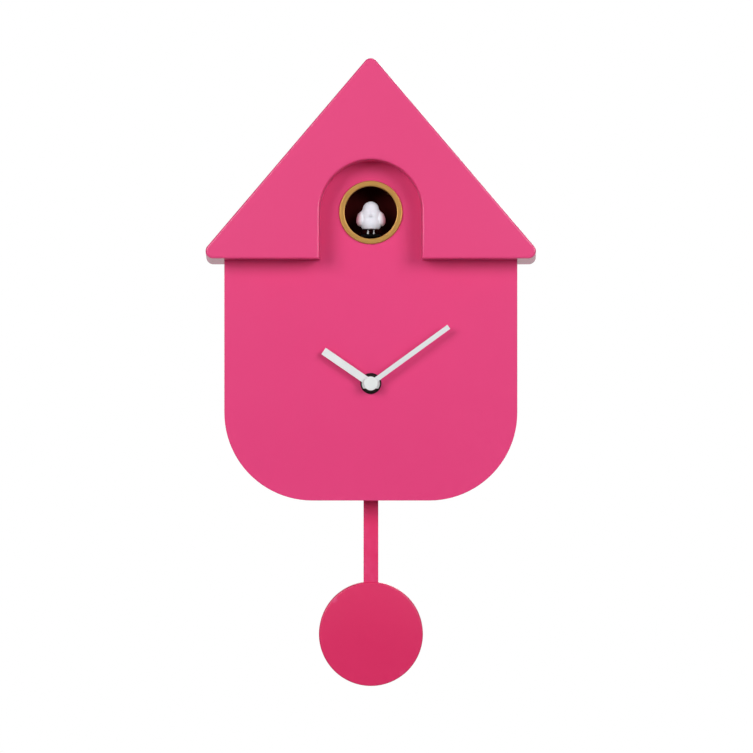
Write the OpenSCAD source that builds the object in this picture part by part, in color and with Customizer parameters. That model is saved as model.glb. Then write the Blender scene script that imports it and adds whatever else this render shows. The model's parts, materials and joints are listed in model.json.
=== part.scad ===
// Wall-hung cuckoo clock: gable roof with an arched cut-out, a bird on a driven slide,
// a quartz movement with two hands, and a free-swinging pendulum.
// Millimetres. The origin is the centre of the keyhole in the back face, which lies in
// the plane y = 0 against the wall. +Z is up and the front faces -Y.

/* [Roof] */
// Overall width of the roof at its front
roof_w = 206.8; // [195:0.1:250]
// Slope of the roof from the horizontal, in degrees
roof_pitch = 49.6; // [46:0.1:54]
// Depth of the clock, from the wall to the front of the roof
clock_depth = 80; // [76:1:100]
// Extra width of the roof on each side at the back
roof_flare = 5.2; // [0:0.1:8]
// Radius of the roof's three corners
roof_corner_r = 4.7; // [3.5:0.1:8]
// Height of the front apex above the keyhole
apex_rise = 60; // [54:1:75]
// Radius of the arched cut-out in the roof
arch_r = 32.1; // [28:0.1:38]

/* [Body] */
// Width of the body
body_w = 185.6; // [176:0.1:194]
// Height of the body below the roof
body_drop = 152.5; // [145:0.5:190]
// Radius of the body's two bottom corners
body_corner_r = 55.7; // [40:0.1:60]
// Step from the roof's front back to the dial face
face_setback = 18; // [14:0.5:24]
// Wall of the roof and the body
wall = 2.5; // [2:0.1:3.2]
// Thickness of the back cover
cover_t = 2.5; // [2:0.1:3]
// Gap around parts that drop into each other
fit = 0.3; // [0.2:0.05:0.5]
// Diameter of the keyhole that takes the wall screw's head
keyhole_d = 9; // [8:0.5:11]
// Width of the keyhole's slot above it
keyhole_slot = 4.5; // [4:0.1:5.5]
// Radial gap of everything that turns on a shaft
run_fit = 0.08; // [0.04:0.01:0.1]

/* [Bird hole] */
// Distance from the front apex down to the centre of the hole
hole_drop = 95.4; // [88:0.1:110]
// Diameter of the clear opening in the ring
opening_d = 33.1; // [32:0.1:40]
// Width of the ring around the opening
ring_rim = 3.55; // [2.5:0.05:6]
// How far the ring stands out of the dial face
ring_t = 1.4; // [1:0.1:3]

/* [Dial and hands] */
// Distance from the front apex down to the hands' centre
dial_drop = 203.7; // [195:0.1:215]
// Length of the hour hand from the centre
hour_len = 36.2; // [25:0.1:50]
// Width of the hour hand
hour_w = 4.9; // [4:0.1:8]
// Length of the minute hand from the centre
minute_len = 60.8; // [45:0.1:75]
// Width of the minute hand
minute_w = 3.2; // [2:0.1:6]
// Thickness of both hands
hand_t = 0.8; // [0.5:0.1:1.2]
// Diameter of the cap over the hands' centre
cap_d = 8.8; // [7:0.1:12]
// Diameter of the washer against the dial
washer_d = 13.3; // [12:0.1:18]
// Time that the hands show, in minutes after twelve
shown_minutes = 609; // [0:1:719]

/* [Movement] */
// Width of the quartz movement
move_w = 58; // [56:1:64]
// Height of the movement above the hands' centre
move_up = 28; // [26:1:34]
// Height of the movement below the hands' centre
move_down = 62.3; // [60:0.1:66]
// Depth of the movement's case and cover together
move_t = 20; // [20:0.5:22]
// Wall of the movement's case
move_wall = 1.5; // [1.2:0.1:2]
// Radius of the minute shaft
shaft_r = 1.5; // [1:0.1:1.6]
// Radius of the hour wheel's pipe
pipe_r = 2.5; // [2.3:0.1:2.8]
// Radius of the threaded bush through the dial
bush_r = 3.9; // [3.6:0.1:4.5]
// Radius of the setting arbor
arbor_r = 1.2; // [1:0.1:1.4]

/* [Gears] */
// Module of the minute pinion and the minute wheel
motion_m = 0.5; // [0.4:0.05:0.55]
// Thickness taken off every tooth for backlash
backlash = 0.08; // [0.05:0.01:0.15]
// Module of the motor pinion and the drive gear
drive_m = 0.5; // [0.4:0.05:0.6]
// Module of the rack and its pinion
rack_m = 0.6; // [0.5:0.05:0.7]

/* [Bird] */
// How far the bird comes out
bird_travel = 22; // [12:0.5:23]
// Width of the slide that carries the bird
slide_w = 11; // [9:0.5:12]
// Thickness of the slide
slide_t = 1.6; // [1.2:0.1:2]
// Distance from the bird's middle to each leg
leg_x = 1.9; // [1.6:0.1:2.4]
// Radius of a leg's wire
leg_r = 0.55; // [0.4:0.05:0.7]

/* [Pendulum] */
// Distance from the hands' centre down to the pendulum's pivot
pivot_drop = 36.3; // [35:0.1:40]
// Distance from the pivot down to the disc's centre
pendulum_len = 125.1; // [110:0.1:160]
// Diameter of the disc
disc_d = 67; // [50:0.5:90]
// Thickness of the disc
disc_t = 8; // [6:0.5:12]
// How far the disc's front bulges in the middle
disc_crown = 1.6; // [0.5:0.1:2.5]
// Width of the pendulum's rod
rod_w = 9.5; // [6:0.1:12]
// Thickness of the pendulum's rod
rod_t = 3; // [2:0.1:4]
// Width of the slot that the rod swings in
slot_w = 25; // [22:0.5:32]

/* [Power and sound] */
// Diameter of one AA cell
cell_d = 14.2; // [14:0.1:14.5]
// Length of one AA cell without its button
cell_len = 49.2; // [48.5:0.1:49.5]
// Diameter of the loudspeaker
speaker_d = 50; // [40:1:54]

/* [Hidden] */
$fn = 96;
eps = 0.01;

// Planes, from the wall to the front
face_y = -(clock_depth - face_setback);
in_y = face_y + wall;
cover_y = -cover_t;
boss_end_y = cover_y - 0.2;

// Roof corners
corner_half = roof_w / 2 - roof_corner_r;
base_z = apex_rise - 2 * roof_corner_r - corner_half * tan(roof_pitch);
sharp_apex_z = apex_rise - roof_corner_r + roof_corner_r / cos(roof_pitch);

// Body heights
dial_z = apex_rise - dial_drop;
bottom_z = base_z - body_drop;
slope_inset = (wall + fit + 0.3) / sin(roof_pitch);
shoulder_z = sharp_apex_z - (body_w / 2 + slope_inset) * tan(roof_pitch);
plate_top_z = apex_rise - 12;
plate_top_x = (sharp_apex_z - plate_top_z) / tan(roof_pitch) - slope_inset;

// Bosses and screws: x and z of each
screw_r = 1.5;
cover_sink = 1.3;
boss_r = 4;
roof_bosses = [[0, apex_rise - 22], [-74, base_z + 21], [74, base_z + 21]];
body_bosses = [[-body_w / 2 + 7, dial_z + 45.3], [body_w / 2 - 7, dial_z + 45.3],
    [-50, bottom_z + 13.5], [50, bottom_z + 13.5]];
roof_posts = [[-46, apex_rise - 72], [46, apex_rise - 72],
    [-body_w / 2 + 9, base_z + 8.2], [body_w / 2 - 9, base_z + 8.2]];

// Hole, dial and hands
hole_z = apex_rise - hole_drop;
opening_r = opening_d / 2;
ring_r = opening_r + ring_rim;
keyhole_r = keyhole_d / 2;
keyhole_rise = 9;
sleeve_r = opening_r + 1.6;
minute_angle = (shown_minutes % 60) * 6;
hour_angle = shown_minutes / 2;
washer_t = 1;
nut_t = 2.2;
nut_y = face_y - washer_t - nut_t;
hour_hand_y = nut_y - 2.4;
minute_hand_y = hour_hand_y - 1.8;
cap_y = minute_hand_y - 1.6;
hub_r = cap_d / 2 + 1.3;
hub_flat = pipe_r + 0.7;

// Movement
move_y = in_y + move_t;
lid_t = 2;
lid_y = move_y - lid_t;
move_in_y = in_y + move_wall;
cell_z = dial_z - 22.3;
cell_y = lid_y - 6.1;
hour_gear_y = move_in_y + 1.1;
hour_gear_t = 1.2;
motion_y = hour_gear_y + hour_gear_t + 0.3;
motion_t = 1.1;
cannon_teeth = 12;
minute_teeth = 36;
transfer_teeth = 10;
hour_teeth = 40;
motion_a = motion_m * (cannon_teeth + minute_teeth) / 2;
transfer_m = 2 * motion_a / (transfer_teeth + hour_teeth);
motion_angle = 20;
arbor_x = motion_a * cos(motion_angle);
arbor_z = dial_z + motion_a * sin(motion_angle);
knob_r = 7;
coil_z = dial_z - 52.3;
stator_y = move_in_y + 4.2;
stepper_y = stator_y + 1 + 3.8;
stator_posts = [[-23.5, dial_z - 10.5], [-23, dial_z + 21.5]];

// Gear teeth
pressure = 25;
addendum = 0.8;
dedendum = 1.05;

// Bird, slide and drive
slide_top = hole_z - opening_r + 3.05;
bird_low = slide_top + 3.4;
slide_half = slide_w / 2;
slide_front_y = face_y + 4;
bird_y = face_y + 9.5;
tunnel_r = opening_r + 0.8;
tunnel_wall = 1.8;
flange_x = tunnel_r + 6.5;
flange_t = 1.8;
tunnel_back_y = in_y + 23.5;
pinion_teeth = 14;
drive_teeth = 48;
motor_teeth = 10;
rack_pitch_r = rack_m * pinion_teeth / 2;
rack_tip_z = slide_top + rack_m * (addendum + dedendum);
drive_y = tunnel_back_y + 6;
// The rack runs on past the pinion by the bird's whole travel
slide_back_y = drive_y + bird_travel + 3.5;
drive_z = rack_tip_z - rack_m * addendum + rack_pitch_r;
drive_a = drive_m * (drive_teeth + motor_teeth) / 2;
motor_angle = 45;
motor_y = drive_y + drive_a * cos(motor_angle);
motor_z = drive_z + drive_a * sin(motor_angle);
motor_r = 8;
motor_len = 12;
rail_x = slide_half + 0.3;
rail_t = 2;
plate_x = tunnel_r + tunnel_wall - 2;
plate_t = 2;
gear_x = plate_x + plate_t + 0.8;
gear_t = 2;
drive_shaft_r = 1.2;
motor_shaft_r = 0.75;
frame_floor_z = slide_top - slide_t - 0.2;
frame_floor_t = 2.6;
frame_len = 28;
frame_holes = [[-rail_x - rail_t - 4, hole_z - 6], [rail_x + rail_t + 3.2, hole_z - 6]];
motor_hole = 4.2;
motor_holes = [for (s = [-1, 1]) [motor_y + s * motor_hole, motor_z + s * motor_hole]];
motor_screw_r = 0.9;

// Pendulum
pivot_z = dial_z - pivot_drop;
hanger_y = move_y + 0.5;
hanger_t = 2.5;
rod_y = hanger_y + hanger_t;
peg_z = pivot_z - 24;
peg_r = 1.6;
disc_z = pivot_z - pendulum_len;
disc_y = rod_y + rod_t / 2 - disc_t / 2;
crown_r = (pow(disc_d / 2, 2) + pow(disc_crown, 2)) / (2 * disc_crown);

// Battery box and its door
box_x = 59;
box_z = dial_z + 0.7;
box_cells_n = 3;
cell_pitch = cell_d + 0.8;
box_in_w = box_cells_n * cell_pitch + 0.6;
box_in_h = cell_len + 7;
box_wall = 1.5;
box_y = cover_y - 2.2;
box_depth = cell_d + 3;
box_floor_y = box_y - box_depth;
door_w = box_in_w + 0.5;
door_h = box_in_h;
door_t = 2.1;
door_y = -door_t - 0.2;
hinge_r = 1;
hinge_y = -2;
hinge_z = box_z - door_h / 2 + 1.8;
barrel_r = 1.6;
pin_len = 2.8;
lug_w = 2.9;
box_hole_z = box_in_h / 2 + box_wall + 3.4;
box_holes = [for (sz = [-1, 1]) [box_x, box_z + sz * box_hole_z]];

// Loudspeaker, sound board and its controls
speaker_x = -58;
speaker_z = dial_z + 3.7;
speaker_ear = speaker_d / 2 + 3.2;
speaker_holes = [for (a = [60, 180, 300])
    [speaker_x + speaker_ear * cos(a), speaker_z + speaker_ear * sin(a)]];
board_x = -52;
board_z = dial_z + 53.33;
board_w = 56;
board_h = 34;
board_t = 1.6;
board_y = cover_y - 9;
board_holes = [for (sx = [-1, 1]) for (sz = [-1, 1])
    [board_x + sx * (board_w / 2 - 3), board_z + sz * (board_h / 2 - 3)]];
switch_x = board_x - 13;
button_x = board_x + 13;
button_r = 2.6;
sensor_x = -34;
sensor_y = in_y + 8;
sensor_r = 2.5;

// Window in the back over the movement and the pendulum's hook
window_half = 30;
window_low = bottom_z + 8;
window_high = dial_z + 26;
pilot_y = -0.8;

// ---------- shared shapes ----------

// An outline in x and z, thick from y0 to y1
module slab(y0, y1) {
    translate([0, y1, 0]) rotate([90, 0, 0]) linear_extrude(y1 - y0) children();
}

// A rod along Y from y0 to y1
module rod_y(x, z, r, y0, y1) {
    translate([x, y1, z]) rotate([90, 0, 0]) cylinder(r = r, h = y1 - y0);
}

// A rod along X from x0 to x1
module rod_x(y, z, r, x0, x1) {
    translate([x0, y, z]) rotate([0, 90, 0]) cylinder(r = r, h = x1 - x0);
}

// A box between two corners
module box_between(a, b) {
    translate(a) cube(b - a);
}

// Screw along Y: its head's outer face is at y and it points to the front
module screw_y(x, z, y, len, head_r = 2.8, head_h = 1.8) {
    difference() {
        union() {
            rod_y(x, z, head_r, y - head_h, y);
            rod_y(x, z, screw_r, y - head_h - len, y - head_h + eps);
        }
        for (turn = [0, 90]) {
            translate([x, y, z]) rotate([0, turn, 0])
                box_between([-1.7, -0.9, -0.3], [1.7, 1, 0.3]);
        }
    }
}

// Smooth route through a few points, and a round wire swept along it
function unit(v) = v / norm(v);
function spline(p, i, t) =
    let (a = p[max(i - 1, 0)], b = p[i], c = p[i + 1], d = p[min(i + 2, len(p) - 1)])
        0.5 * (2 * b + (c - a) * t + (2 * a - 5 * b + 4 * c - d) * t * t
            + (3 * b - a - 3 * c + d) * t * t * t);
function route(p, n) = concat(
    [for (i = [0 : len(p) - 2]) for (j = [0 : n - 1]) spline(p, i, j / n)], [p[len(p) - 1]]);

module wire(points, r) {
    sides = 8;
    path = route(points, 5);
    last = len(path) - 1;
    lean = [0.83, 0.31, 0.46];
    polyhedron(
        points = [
            for (i = [0 : last])
                let (along = unit(path[min(i + 1, last)] - path[max(i - 1, 0)]),
                    u = unit(cross(along, lean)), v = cross(along, u))
                    for (k = [0 : sides - 1])
                        path[i] + r * (cos(k * 360 / sides) * u + sin(k * 360 / sides) * v)
        ],
        faces = concat(
            [[for (k = [0 : sides - 1]) k]],
            [[for (k = [sides - 1 : -1 : 0]) last * sides + k]],
            [for (i = [0 : last - 1]) for (k = [0 : sides - 1])
                let (n = (k + 1) % sides)
                    [i * sides + k, (i + 1) * sides + k, (i + 1) * sides + n, i * sides + n]]
        )
    );
}

// Half the angle of one tooth at radius r, in degrees
function inv_deg(a) = tan(a) * 180 / PI - a;
function tooth_half(teeth, m, r) =
    90 / teeth - backlash / 2 / (m * teeth / 2) * 180 / PI
    + inv_deg(pressure) - inv_deg(acos(min(1, m * teeth / 2 * cos(pressure) / r)));

// Outline of a spur gear with one tooth centred on tooth_at, in degrees from +x
module spur_outline(teeth, m, tooth_at) {
    r_root = m * (teeth / 2 - dedendum);
    r_tip = m * (teeth / 2 + addendum);
    r_base = max(m * teeth / 2 * cos(pressure), r_root + eps);
    radii = [for (i = [0 : 3]) r_base + (r_tip - r_base) * i / 3];
    polygon([
        for (k = [0 : teeth - 1])
            let (mid = tooth_at + k * 360 / teeth)
                each concat(
                    [r_root * [cos(mid - tooth_half(teeth, m, r_base)),
                        sin(mid - tooth_half(teeth, m, r_base))]],
                    [for (r = radii) r * [cos(mid - tooth_half(teeth, m, r)),
                        sin(mid - tooth_half(teeth, m, r))]],
                    [for (i = [3 : -1 : 0]) radii[i] * [cos(mid + tooth_half(teeth, m, radii[i])),
                        sin(mid + tooth_half(teeth, m, radii[i]))]],
                    [r_root * [cos(mid + tooth_half(teeth, m, r_base)),
                        sin(mid + tooth_half(teeth, m, r_base))]]
                )
    ]);
}

// ---------- outlines of the case ----------

// Half spacing of the roof's lower corners at depth y
function half_at(y) = corner_half + roof_flare * (1 + y / clock_depth);
function roof_apex_at(y) = base_z + roof_corner_r + half_at(y) * tan(roof_pitch);

// Solid of the flared roof, with corners of radius r, from y0 to y1
module roof_block(r, y0, y1) {
    hull() {
        for (end = [[y0, y0 + eps], [y1, y1]]) {
            for (side = [-1, 1]) {
                translate([side * half_at(end[0]), end[1], base_z + roof_corner_r])
                    rotate([90, 0, 0]) cylinder(r = r, h = eps, $fn = 40);
            }
            translate([0, end[1], roof_apex_at(end[0])])
                rotate([90, 0, 0]) cylinder(r = r, h = eps, $fn = 40);
        }
    }
}

// Triangle with corners of radius r, as the roof is at depth y
module roof_outline(r, y) {
    half = half_at(y);
    low = base_z + roof_corner_r;
    high = roof_apex_at(y);
    normal = r * [sin(roof_pitch), cos(roof_pitch)];
    polygon([
        [-half, low - r],
        [half, low - r],
        [half + normal[0], low + normal[1]],
        [normal[0], high + normal[1]],
        [-normal[0], high + normal[1]],
        [-half - normal[0], low + normal[1]]
    ]);
    translate([-half, low]) circle(r = r);
    translate([half, low]) circle(r = r);
    translate([0, high]) circle(r = r);
}

// Body outline drawn in by inset, with its top at z = top
module body_outline(inset, top) {
    half = body_w / 2 - inset;
    r = body_corner_r - inset;
    low = bottom_z + inset;
    translate([-half + r, low]) square([2 * (half - r), top - low]);
    translate([-half, low + r]) square([2 * half, top - low - r]);
    translate([-half + r, low + r]) circle(r = r);
    translate([half - r, low + r]) circle(r = r);
}

// Arch of radius r over the hole, open down past the roof's lower edge
module arch_outline(r, low) {
    intersection() {
        translate([0, hole_z]) circle(r = r);
        translate([-r - 1, hole_z - eps]) square([2 * r + 2, r + 2]);
    }
    translate([-r, low]) square([2 * r, hole_z - low]);
}

// ---------- case ----------

module front_housing() {
    color("#de4479")
    difference() {
        union() {
            slab(face_y, in_y) {
                body_outline(0, shoulder_z);
                polygon([
                    [-body_w / 2, shoulder_z - 1],
                    [body_w / 2, shoulder_z - 1],
                    [body_w / 2, shoulder_z],
                    [plate_top_x, plate_top_z],
                    [-plate_top_x, plate_top_z],
                    [-body_w / 2, shoulder_z]
                ]);
            }
            difference() {
                slab(in_y - 0.5, 0) body_outline(0, shoulder_z);
                slab(in_y - 1, 1) body_outline(wall, shoulder_z + 1);
            }
            for (p = body_bosses) {
                rod_y(p[0], p[1], boss_r, in_y - 0.5, boss_end_y);
            }
        }
        // The side walls stop short of the cover inside the roof
        box_between([-roof_w, cover_y - 0.2, base_z + wall - 0.2], [roof_w, 1, apex_rise]);
        rod_y(0, hole_z, sleeve_r + 0.1, face_y - 1, in_y + 1);
        rod_y(0, dial_z, bush_r + 0.1, face_y - 1, in_y + 1);
        for (p = roof_bosses) {
            rod_y(p[0], p[1], boss_r + fit, face_y - 1, in_y + 1);
        }
        for (p = roof_posts) {
            rod_y(p[0], p[1], screw_r + 0.2, face_y - 1, in_y + 1);
        }
        for (p = body_bosses) {
            rod_y(p[0], p[1], screw_r, boss_end_y - 12, boss_end_y + 1);
        }
        for (side = [-1, 1]) {
            rod_y(side * flange_x, hole_z, screw_r, in_y - 1.7, in_y + 1);
        }
        // Slot that the pendulum's rod swings in
        box_between([-slot_w / 2, rod_y - 4, bottom_z - 1],
            [slot_w / 2, rod_y + rod_t + 4, bottom_z + wall + 1]);
        translate([sensor_x, sensor_y, bottom_z - 1]) cylinder(r = sensor_r, h = wall + 2);
    }
}

module roof_shell() {
    color("#e64983")
    difference() {
        union() {
            difference() {
                roof_block(roof_corner_r, -clock_depth, 0);
                roof_block(roof_corner_r - wall, -clock_depth + wall, 1);
            }
            // Wall around the arch
            slab(-clock_depth + wall - 0.5, face_y - fit) arch_outline(arch_r + wall, base_z);
            for (p = roof_bosses) {
                rod_y(p[0], p[1], boss_r, -clock_depth + wall - 0.5, boss_end_y);
            }
            for (p = roof_posts) {
                rod_y(p[0], p[1], boss_r, -clock_depth + wall - 0.5, face_y - fit);
            }
        }
        slab(-clock_depth - 1, face_y - fit + eps) arch_outline(arch_r, base_z - 1);
        // Opening that the body passes up through
        box_between([-body_w / 2 - fit, face_y - fit, base_z - 1],
            [body_w / 2 + fit, 1, base_z + wall + 0.2]);
        for (p = roof_bosses) {
            rod_y(p[0], p[1], screw_r, boss_end_y - 12, boss_end_y + 1);
        }
        for (p = roof_posts) {
            rod_y(p[0], p[1], screw_r, face_y - 9, face_y);
        }
    }
}

module back_cover() {
    color("#d9447a")
    difference() {
        union() {
            slab(cover_y, 0) {
                roof_outline(roof_corner_r - wall - fit, cover_y);
                body_outline(wall + fit, base_z + wall + 5);
            }
            // Lugs that hold the battery door's pins
            for (side = [-1, 1]) {
                x0 = box_x + side * (door_w / 2 + fit);
                x1 = x0 + side * lug_w;
                box_between([min(x0, x1), -4, hinge_z - 2], [max(x0, x1), -1, hinge_z + 2]);
            }
            // Collars that guide the button and the slider
            rod_y(button_x, board_z, button_r + 1.6, cover_y - 2, -1);
        }
        // Keyhole
        rod_y(0, 0, keyhole_r, cover_y - 1, 1);
        box_between([-keyhole_slot / 2, cover_y - 1, 0], [keyhole_slot / 2, 1, keyhole_rise]);
        rod_y(0, keyhole_rise, keyhole_slot / 2, cover_y - 1, 1);
        // Window over the movement's back and the pendulum's hook
        box_between([-window_half, cover_y - 1, window_low], [window_half, 1, window_high]);
        // Opening of the battery box
        box_between([box_x - door_w / 2 - fit, cover_y - 1, hinge_z - barrel_r - 0.9],
            [box_x + door_w / 2 + fit, 1, hinge_z + door_h]);
        rod_x(hinge_y, hinge_z, hinge_r + run_fit, box_x - door_w / 2 - 4, box_x + door_w / 2 + 4);
        // Sound slots over the loudspeaker
        for (i = [-3 : 3]) {
            half = sqrt(pow(speaker_d / 2 - 5, 2) - pow(i * 5.5, 2));
            box_between([speaker_x - half, cover_y - 1, speaker_z + i * 5.5 - 1],
                [speaker_x + half, 1, speaker_z + i * 5.5 + 1]);
        }
        for (p = concat(roof_bosses, body_bosses)) {
            rod_y(p[0], p[1], screw_r + 0.2, cover_y - 1, 1);
            rod_y(p[0], p[1], 3.1, -cover_sink, 1);
        }
        // Pilot holes for the screws driven from inside
        for (p = concat(speaker_holes, board_holes, box_holes)) {
            rod_y(p[0], p[1], screw_r, cover_y - 1, pilot_y);
        }
        rod_y(button_x, board_z, button_r + 0.15, cover_y - 3, 1);
        box_between([switch_x - 5, cover_y - 1, board_z - 1.6], [switch_x + 5, 1, board_z + 1.6]);
    }
}

module battery_door() {
    color("#d9447a")
    difference() {
        union() {
            box_between([box_x - door_w / 2, door_y, hinge_z],
                [box_x + door_w / 2, door_y + door_t, hinge_z + door_h - 0.4]);
            rod_x(hinge_y, hinge_z, barrel_r, box_x - door_w / 2, box_x + door_w / 2);
            rod_x(hinge_y, hinge_z, hinge_r, box_x - door_w / 2 - pin_len, box_x + door_w / 2 + pin_len);
        }
        // Finger notch and grip lines
        rod_y(box_x, hinge_z + door_h, 6, -1.2, 1);
        for (i = [0 : 3]) {
            box_between([box_x - 9, -0.8, hinge_z + door_h - 12 - i * 2.4],
                [box_x + 9, 1, hinge_z + door_h - 11 - i * 2.4]);
        }
    }
}

module hole_ring() {
    color("#b98b3e")
    difference() {
        union() {
            rod_y(0, hole_z, ring_r, face_y - ring_t, face_y);
            rod_y(0, hole_z, sleeve_r, face_y - eps, in_y - 0.3);
        }
        rod_y(0, hole_z, opening_r, face_y - ring_t - 1, in_y + 1);
    }
}

module bird_tunnel() {
    color("#1f0508")
    difference() {
        union() {
            rod_y(0, hole_z, tunnel_r + tunnel_wall, in_y, tunnel_back_y);
            slab(in_y, in_y + flange_t) {
                translate([0, hole_z]) circle(r = tunnel_r + tunnel_wall + 2);
                for (side = [-1, 1]) {
                    translate([side * flange_x, hole_z]) circle(r = 4);
                }
            }
        }
        rod_y(0, hole_z, tunnel_r, in_y - 1, tunnel_back_y - 1.6);
        // Mouth that the slide and its rack pass through
        box_between([-slide_half - 0.6, tunnel_back_y - 3, slide_top - slide_t - 0.4],
            [slide_half + 0.6, tunnel_back_y + 1, rack_tip_z + 0.6]);
        for (side = [-1, 1]) {
            rod_y(side * flange_x, hole_z, screw_r, in_y - 1, in_y + 3);
        }
        for (p = frame_holes) {
            rod_y(p[0], p[1], screw_r, tunnel_back_y - 1.25, tunnel_back_y + 1);
        }
    }
}

module case_screws() {
    color("#b9bbbd")
    for (p = concat(roof_bosses, body_bosses)) {
        screw_y(p[0], p[1], -cover_sink + 1.2, 11.5, 2.8, 1.2);
    }
}

module roof_screws() {
    color("#b9bbbd")
    for (p = roof_posts) {
        screw_y(p[0], p[1], in_y + 1.8, 8.5);
    }
}

// ---------- movement ----------

module movement_case() {
    color("#232427") {
        for (p = stator_posts) {
            rod_y(p[0], p[1], 1.6, move_in_y - eps, stator_y);
        }
    }
    color("#232427")
    difference() {
        box_between([-move_w / 2, in_y, dial_z - move_down], [move_w / 2, lid_y, dial_z + move_up]);
        box_between([-move_w / 2 + move_wall, move_in_y, dial_z - move_down + move_wall],
            [move_w / 2 - move_wall, lid_y + 1, dial_z + move_up - move_wall]);
        rod_y(0, dial_z, bush_r, in_y - 1, move_in_y + 1);
        rod_y(arbor_x, arbor_z, arbor_r + run_fit, in_y + 0.4, move_in_y + 1);
    }
}

module movement_cover() {
    color("#2b2c30")
    difference() {
        union() {
            box_between([-move_w / 2, lid_y, dial_z - move_down],
                [move_w / 2, move_y, dial_z + move_up]);
            // Rear bearing of the minute shaft
            rod_y(0, dial_z, 3.4, lid_y - 3, lid_y + eps);
            // Pin that the pendulum's hanger swings on
            rod_y(0, pivot_z, arbor_r, move_y - eps, hanger_y + hanger_t + 0.4);
        }
        rod_y(0, dial_z, shaft_r + run_fit, lid_y - 4, move_y - 0.8);
        rod_y(arbor_x, arbor_z, arbor_r + run_fit, lid_y - 1, move_y + 1);
        // Bay of the cell
        box_between([-move_w / 2 + 2, lid_y - 1, cell_z - cell_d / 2 - 0.5],
            [move_w / 2 - 2, move_y + 1, cell_z + cell_d / 2 + 0.5]);
    }
}

module threaded_bush() {
    color("#c9a24b")
    difference() {
        union() {
            rod_y(0, dial_z, bush_r, nut_y - 1.2, move_in_y + 0.6);
            rod_y(0, dial_z, 6, move_in_y, move_in_y + 0.7);
        }
        rod_y(0, dial_z, pipe_r + run_fit, nut_y - 3, move_in_y + 2);
    }
}

module movement_board() {
    color("#2f6b3c")
    difference() {
        box_between([-26, lid_y - 1.2, dial_z - 12], [-7, lid_y, dial_z + 24]);
        rod_y(-16.5, dial_z + 20, 1.6, lid_y - 3, lid_y + 1);
    }
    // Drop of resin over the clock chip
    color("#15171a")
    difference() {
        translate([-16.5, lid_y - 1.2 + eps, dial_z + 6]) sphere(r = 2.2);
        box_between([-26, lid_y - 1.2 + 2 * eps, dial_z - 12], [-7, lid_y + 5, dial_z + 24]);
    }
}

module stepper_stator() {
    color("#8d9094")
    difference() {
        box_between([-26.5, stator_y, dial_z - 13], [-11.5, stator_y + 1, dial_z + 25]);
        rod_y(-19, dial_z - 7, 3, stator_y - 1, stator_y + 2);
        box_between([-16, stator_y - 1, dial_z + 2], [-13.5, stator_y + 2, dial_z + 18]);
    }
}

module stepper_coil() {
    color("#b4552d")
    difference() {
        union() {
            translate([-19, stepper_y, dial_z + 3.2]) cylinder(r = 3.2, h = 13.6);
            for (z = [dial_z + 2.2, dial_z + 16.8]) {
                translate([-19, stepper_y, z]) cylinder(r = 3.8, h = 1);
            }
        }
        translate([-19, stepper_y, dial_z]) cylinder(r = 1, h = 30);
    }
}

module pendulum_coil() {
    color("#b4552d")
    difference() {
        union() {
            rod_y(0, coil_z, 7.5, move_in_y + 1, lid_y - 1);
            for (y = [move_in_y, lid_y - 1]) {
                rod_y(0, coil_z, 8.2, y, y + 1);
            }
        }
        rod_y(0, coil_z, 2, move_in_y - 1, lid_y + 1);
    }
}

module aa_cell_x(x0, y, z) {
    rod_x(y, z, cell_d / 2, x0, x0 + cell_len);
    rod_x(y, z, 2.7, x0 + cell_len - eps, x0 + cell_len + 1.2);
}

module movement_cell() {
    color("#c7ccd1") aa_cell_x(-cell_len / 2 - 0.6, cell_y, cell_z);
}

module movement_contacts() {
    x1 = move_w / 2 - move_wall;
    color("#d3d5d6") {
        box_between([x1 - 0.5, cell_y - 5, cell_z - 5], [x1, cell_y + 5, cell_z + 5]);
        rod_x(cell_y, cell_z, 3, cell_len / 2 + 0.6, x1 - 0.5 + eps);
        box_between([-x1, cell_y - 5, cell_z - 5], [-x1 + 0.5, cell_y + 5, cell_z + 5]);
        translate([-x1 + 0.5 - eps, cell_y, cell_z]) rotate([0, 90, 0])
            cylinder(r1 = 5, r2 = 2.5, h = x1 - 0.5 - cell_len / 2 - 0.6 + eps);
    }
}

module dial_washer() {
    color("#1b1516")
    difference() {
        rod_y(0, dial_z, washer_d / 2, face_y - washer_t, face_y);
        rod_y(0, dial_z, bush_r + 0.1, face_y - 3, face_y + 1);
    }
}

module fixing_nut() {
    color("#141213")
    difference() {
        slab(nut_y, face_y - washer_t) translate([0, dial_z]) circle(r = 5.9, $fn = 6);
        rod_y(0, dial_z, bush_r, nut_y - 1, face_y);
    }
}

// ---------- hands and motion work ----------

module minute_shaft() {
    color("#cfd2d4") rod_y(0, dial_z, shaft_r, cap_y + 0.8, move_y - 1);
    color("#c9a24b")
    slab(motion_y, motion_y + motion_t) translate([0, dial_z]) {
        difference() {
            spur_outline(cannon_teeth, motion_m, motion_angle);
            circle(r = shaft_r - eps);
        }
    }
}

module minute_hand() {
    color("#f4f4f4")
    translate([0, 0, dial_z]) rotate([0, minute_angle, 0])
    difference() {
        union() {
            box_between([-minute_w / 2, minute_hand_y, 0],
                [minute_w / 2, minute_hand_y + hand_t, minute_len]);
            rod_y(0, 0, cap_d / 2 - 0.8, minute_hand_y, minute_hand_y + hand_t);
        }
        rod_y(0, 0, shaft_r, minute_hand_y - 1, minute_hand_y + 2);
    }
}

module hand_cap() {
    color("#eef0ee")
    difference() {
        rod_y(0, dial_z, cap_d / 2, cap_y, minute_hand_y);
        rod_y(0, dial_z, shaft_r, cap_y + 0.8, minute_hand_y + 1);
    }
}

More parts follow.
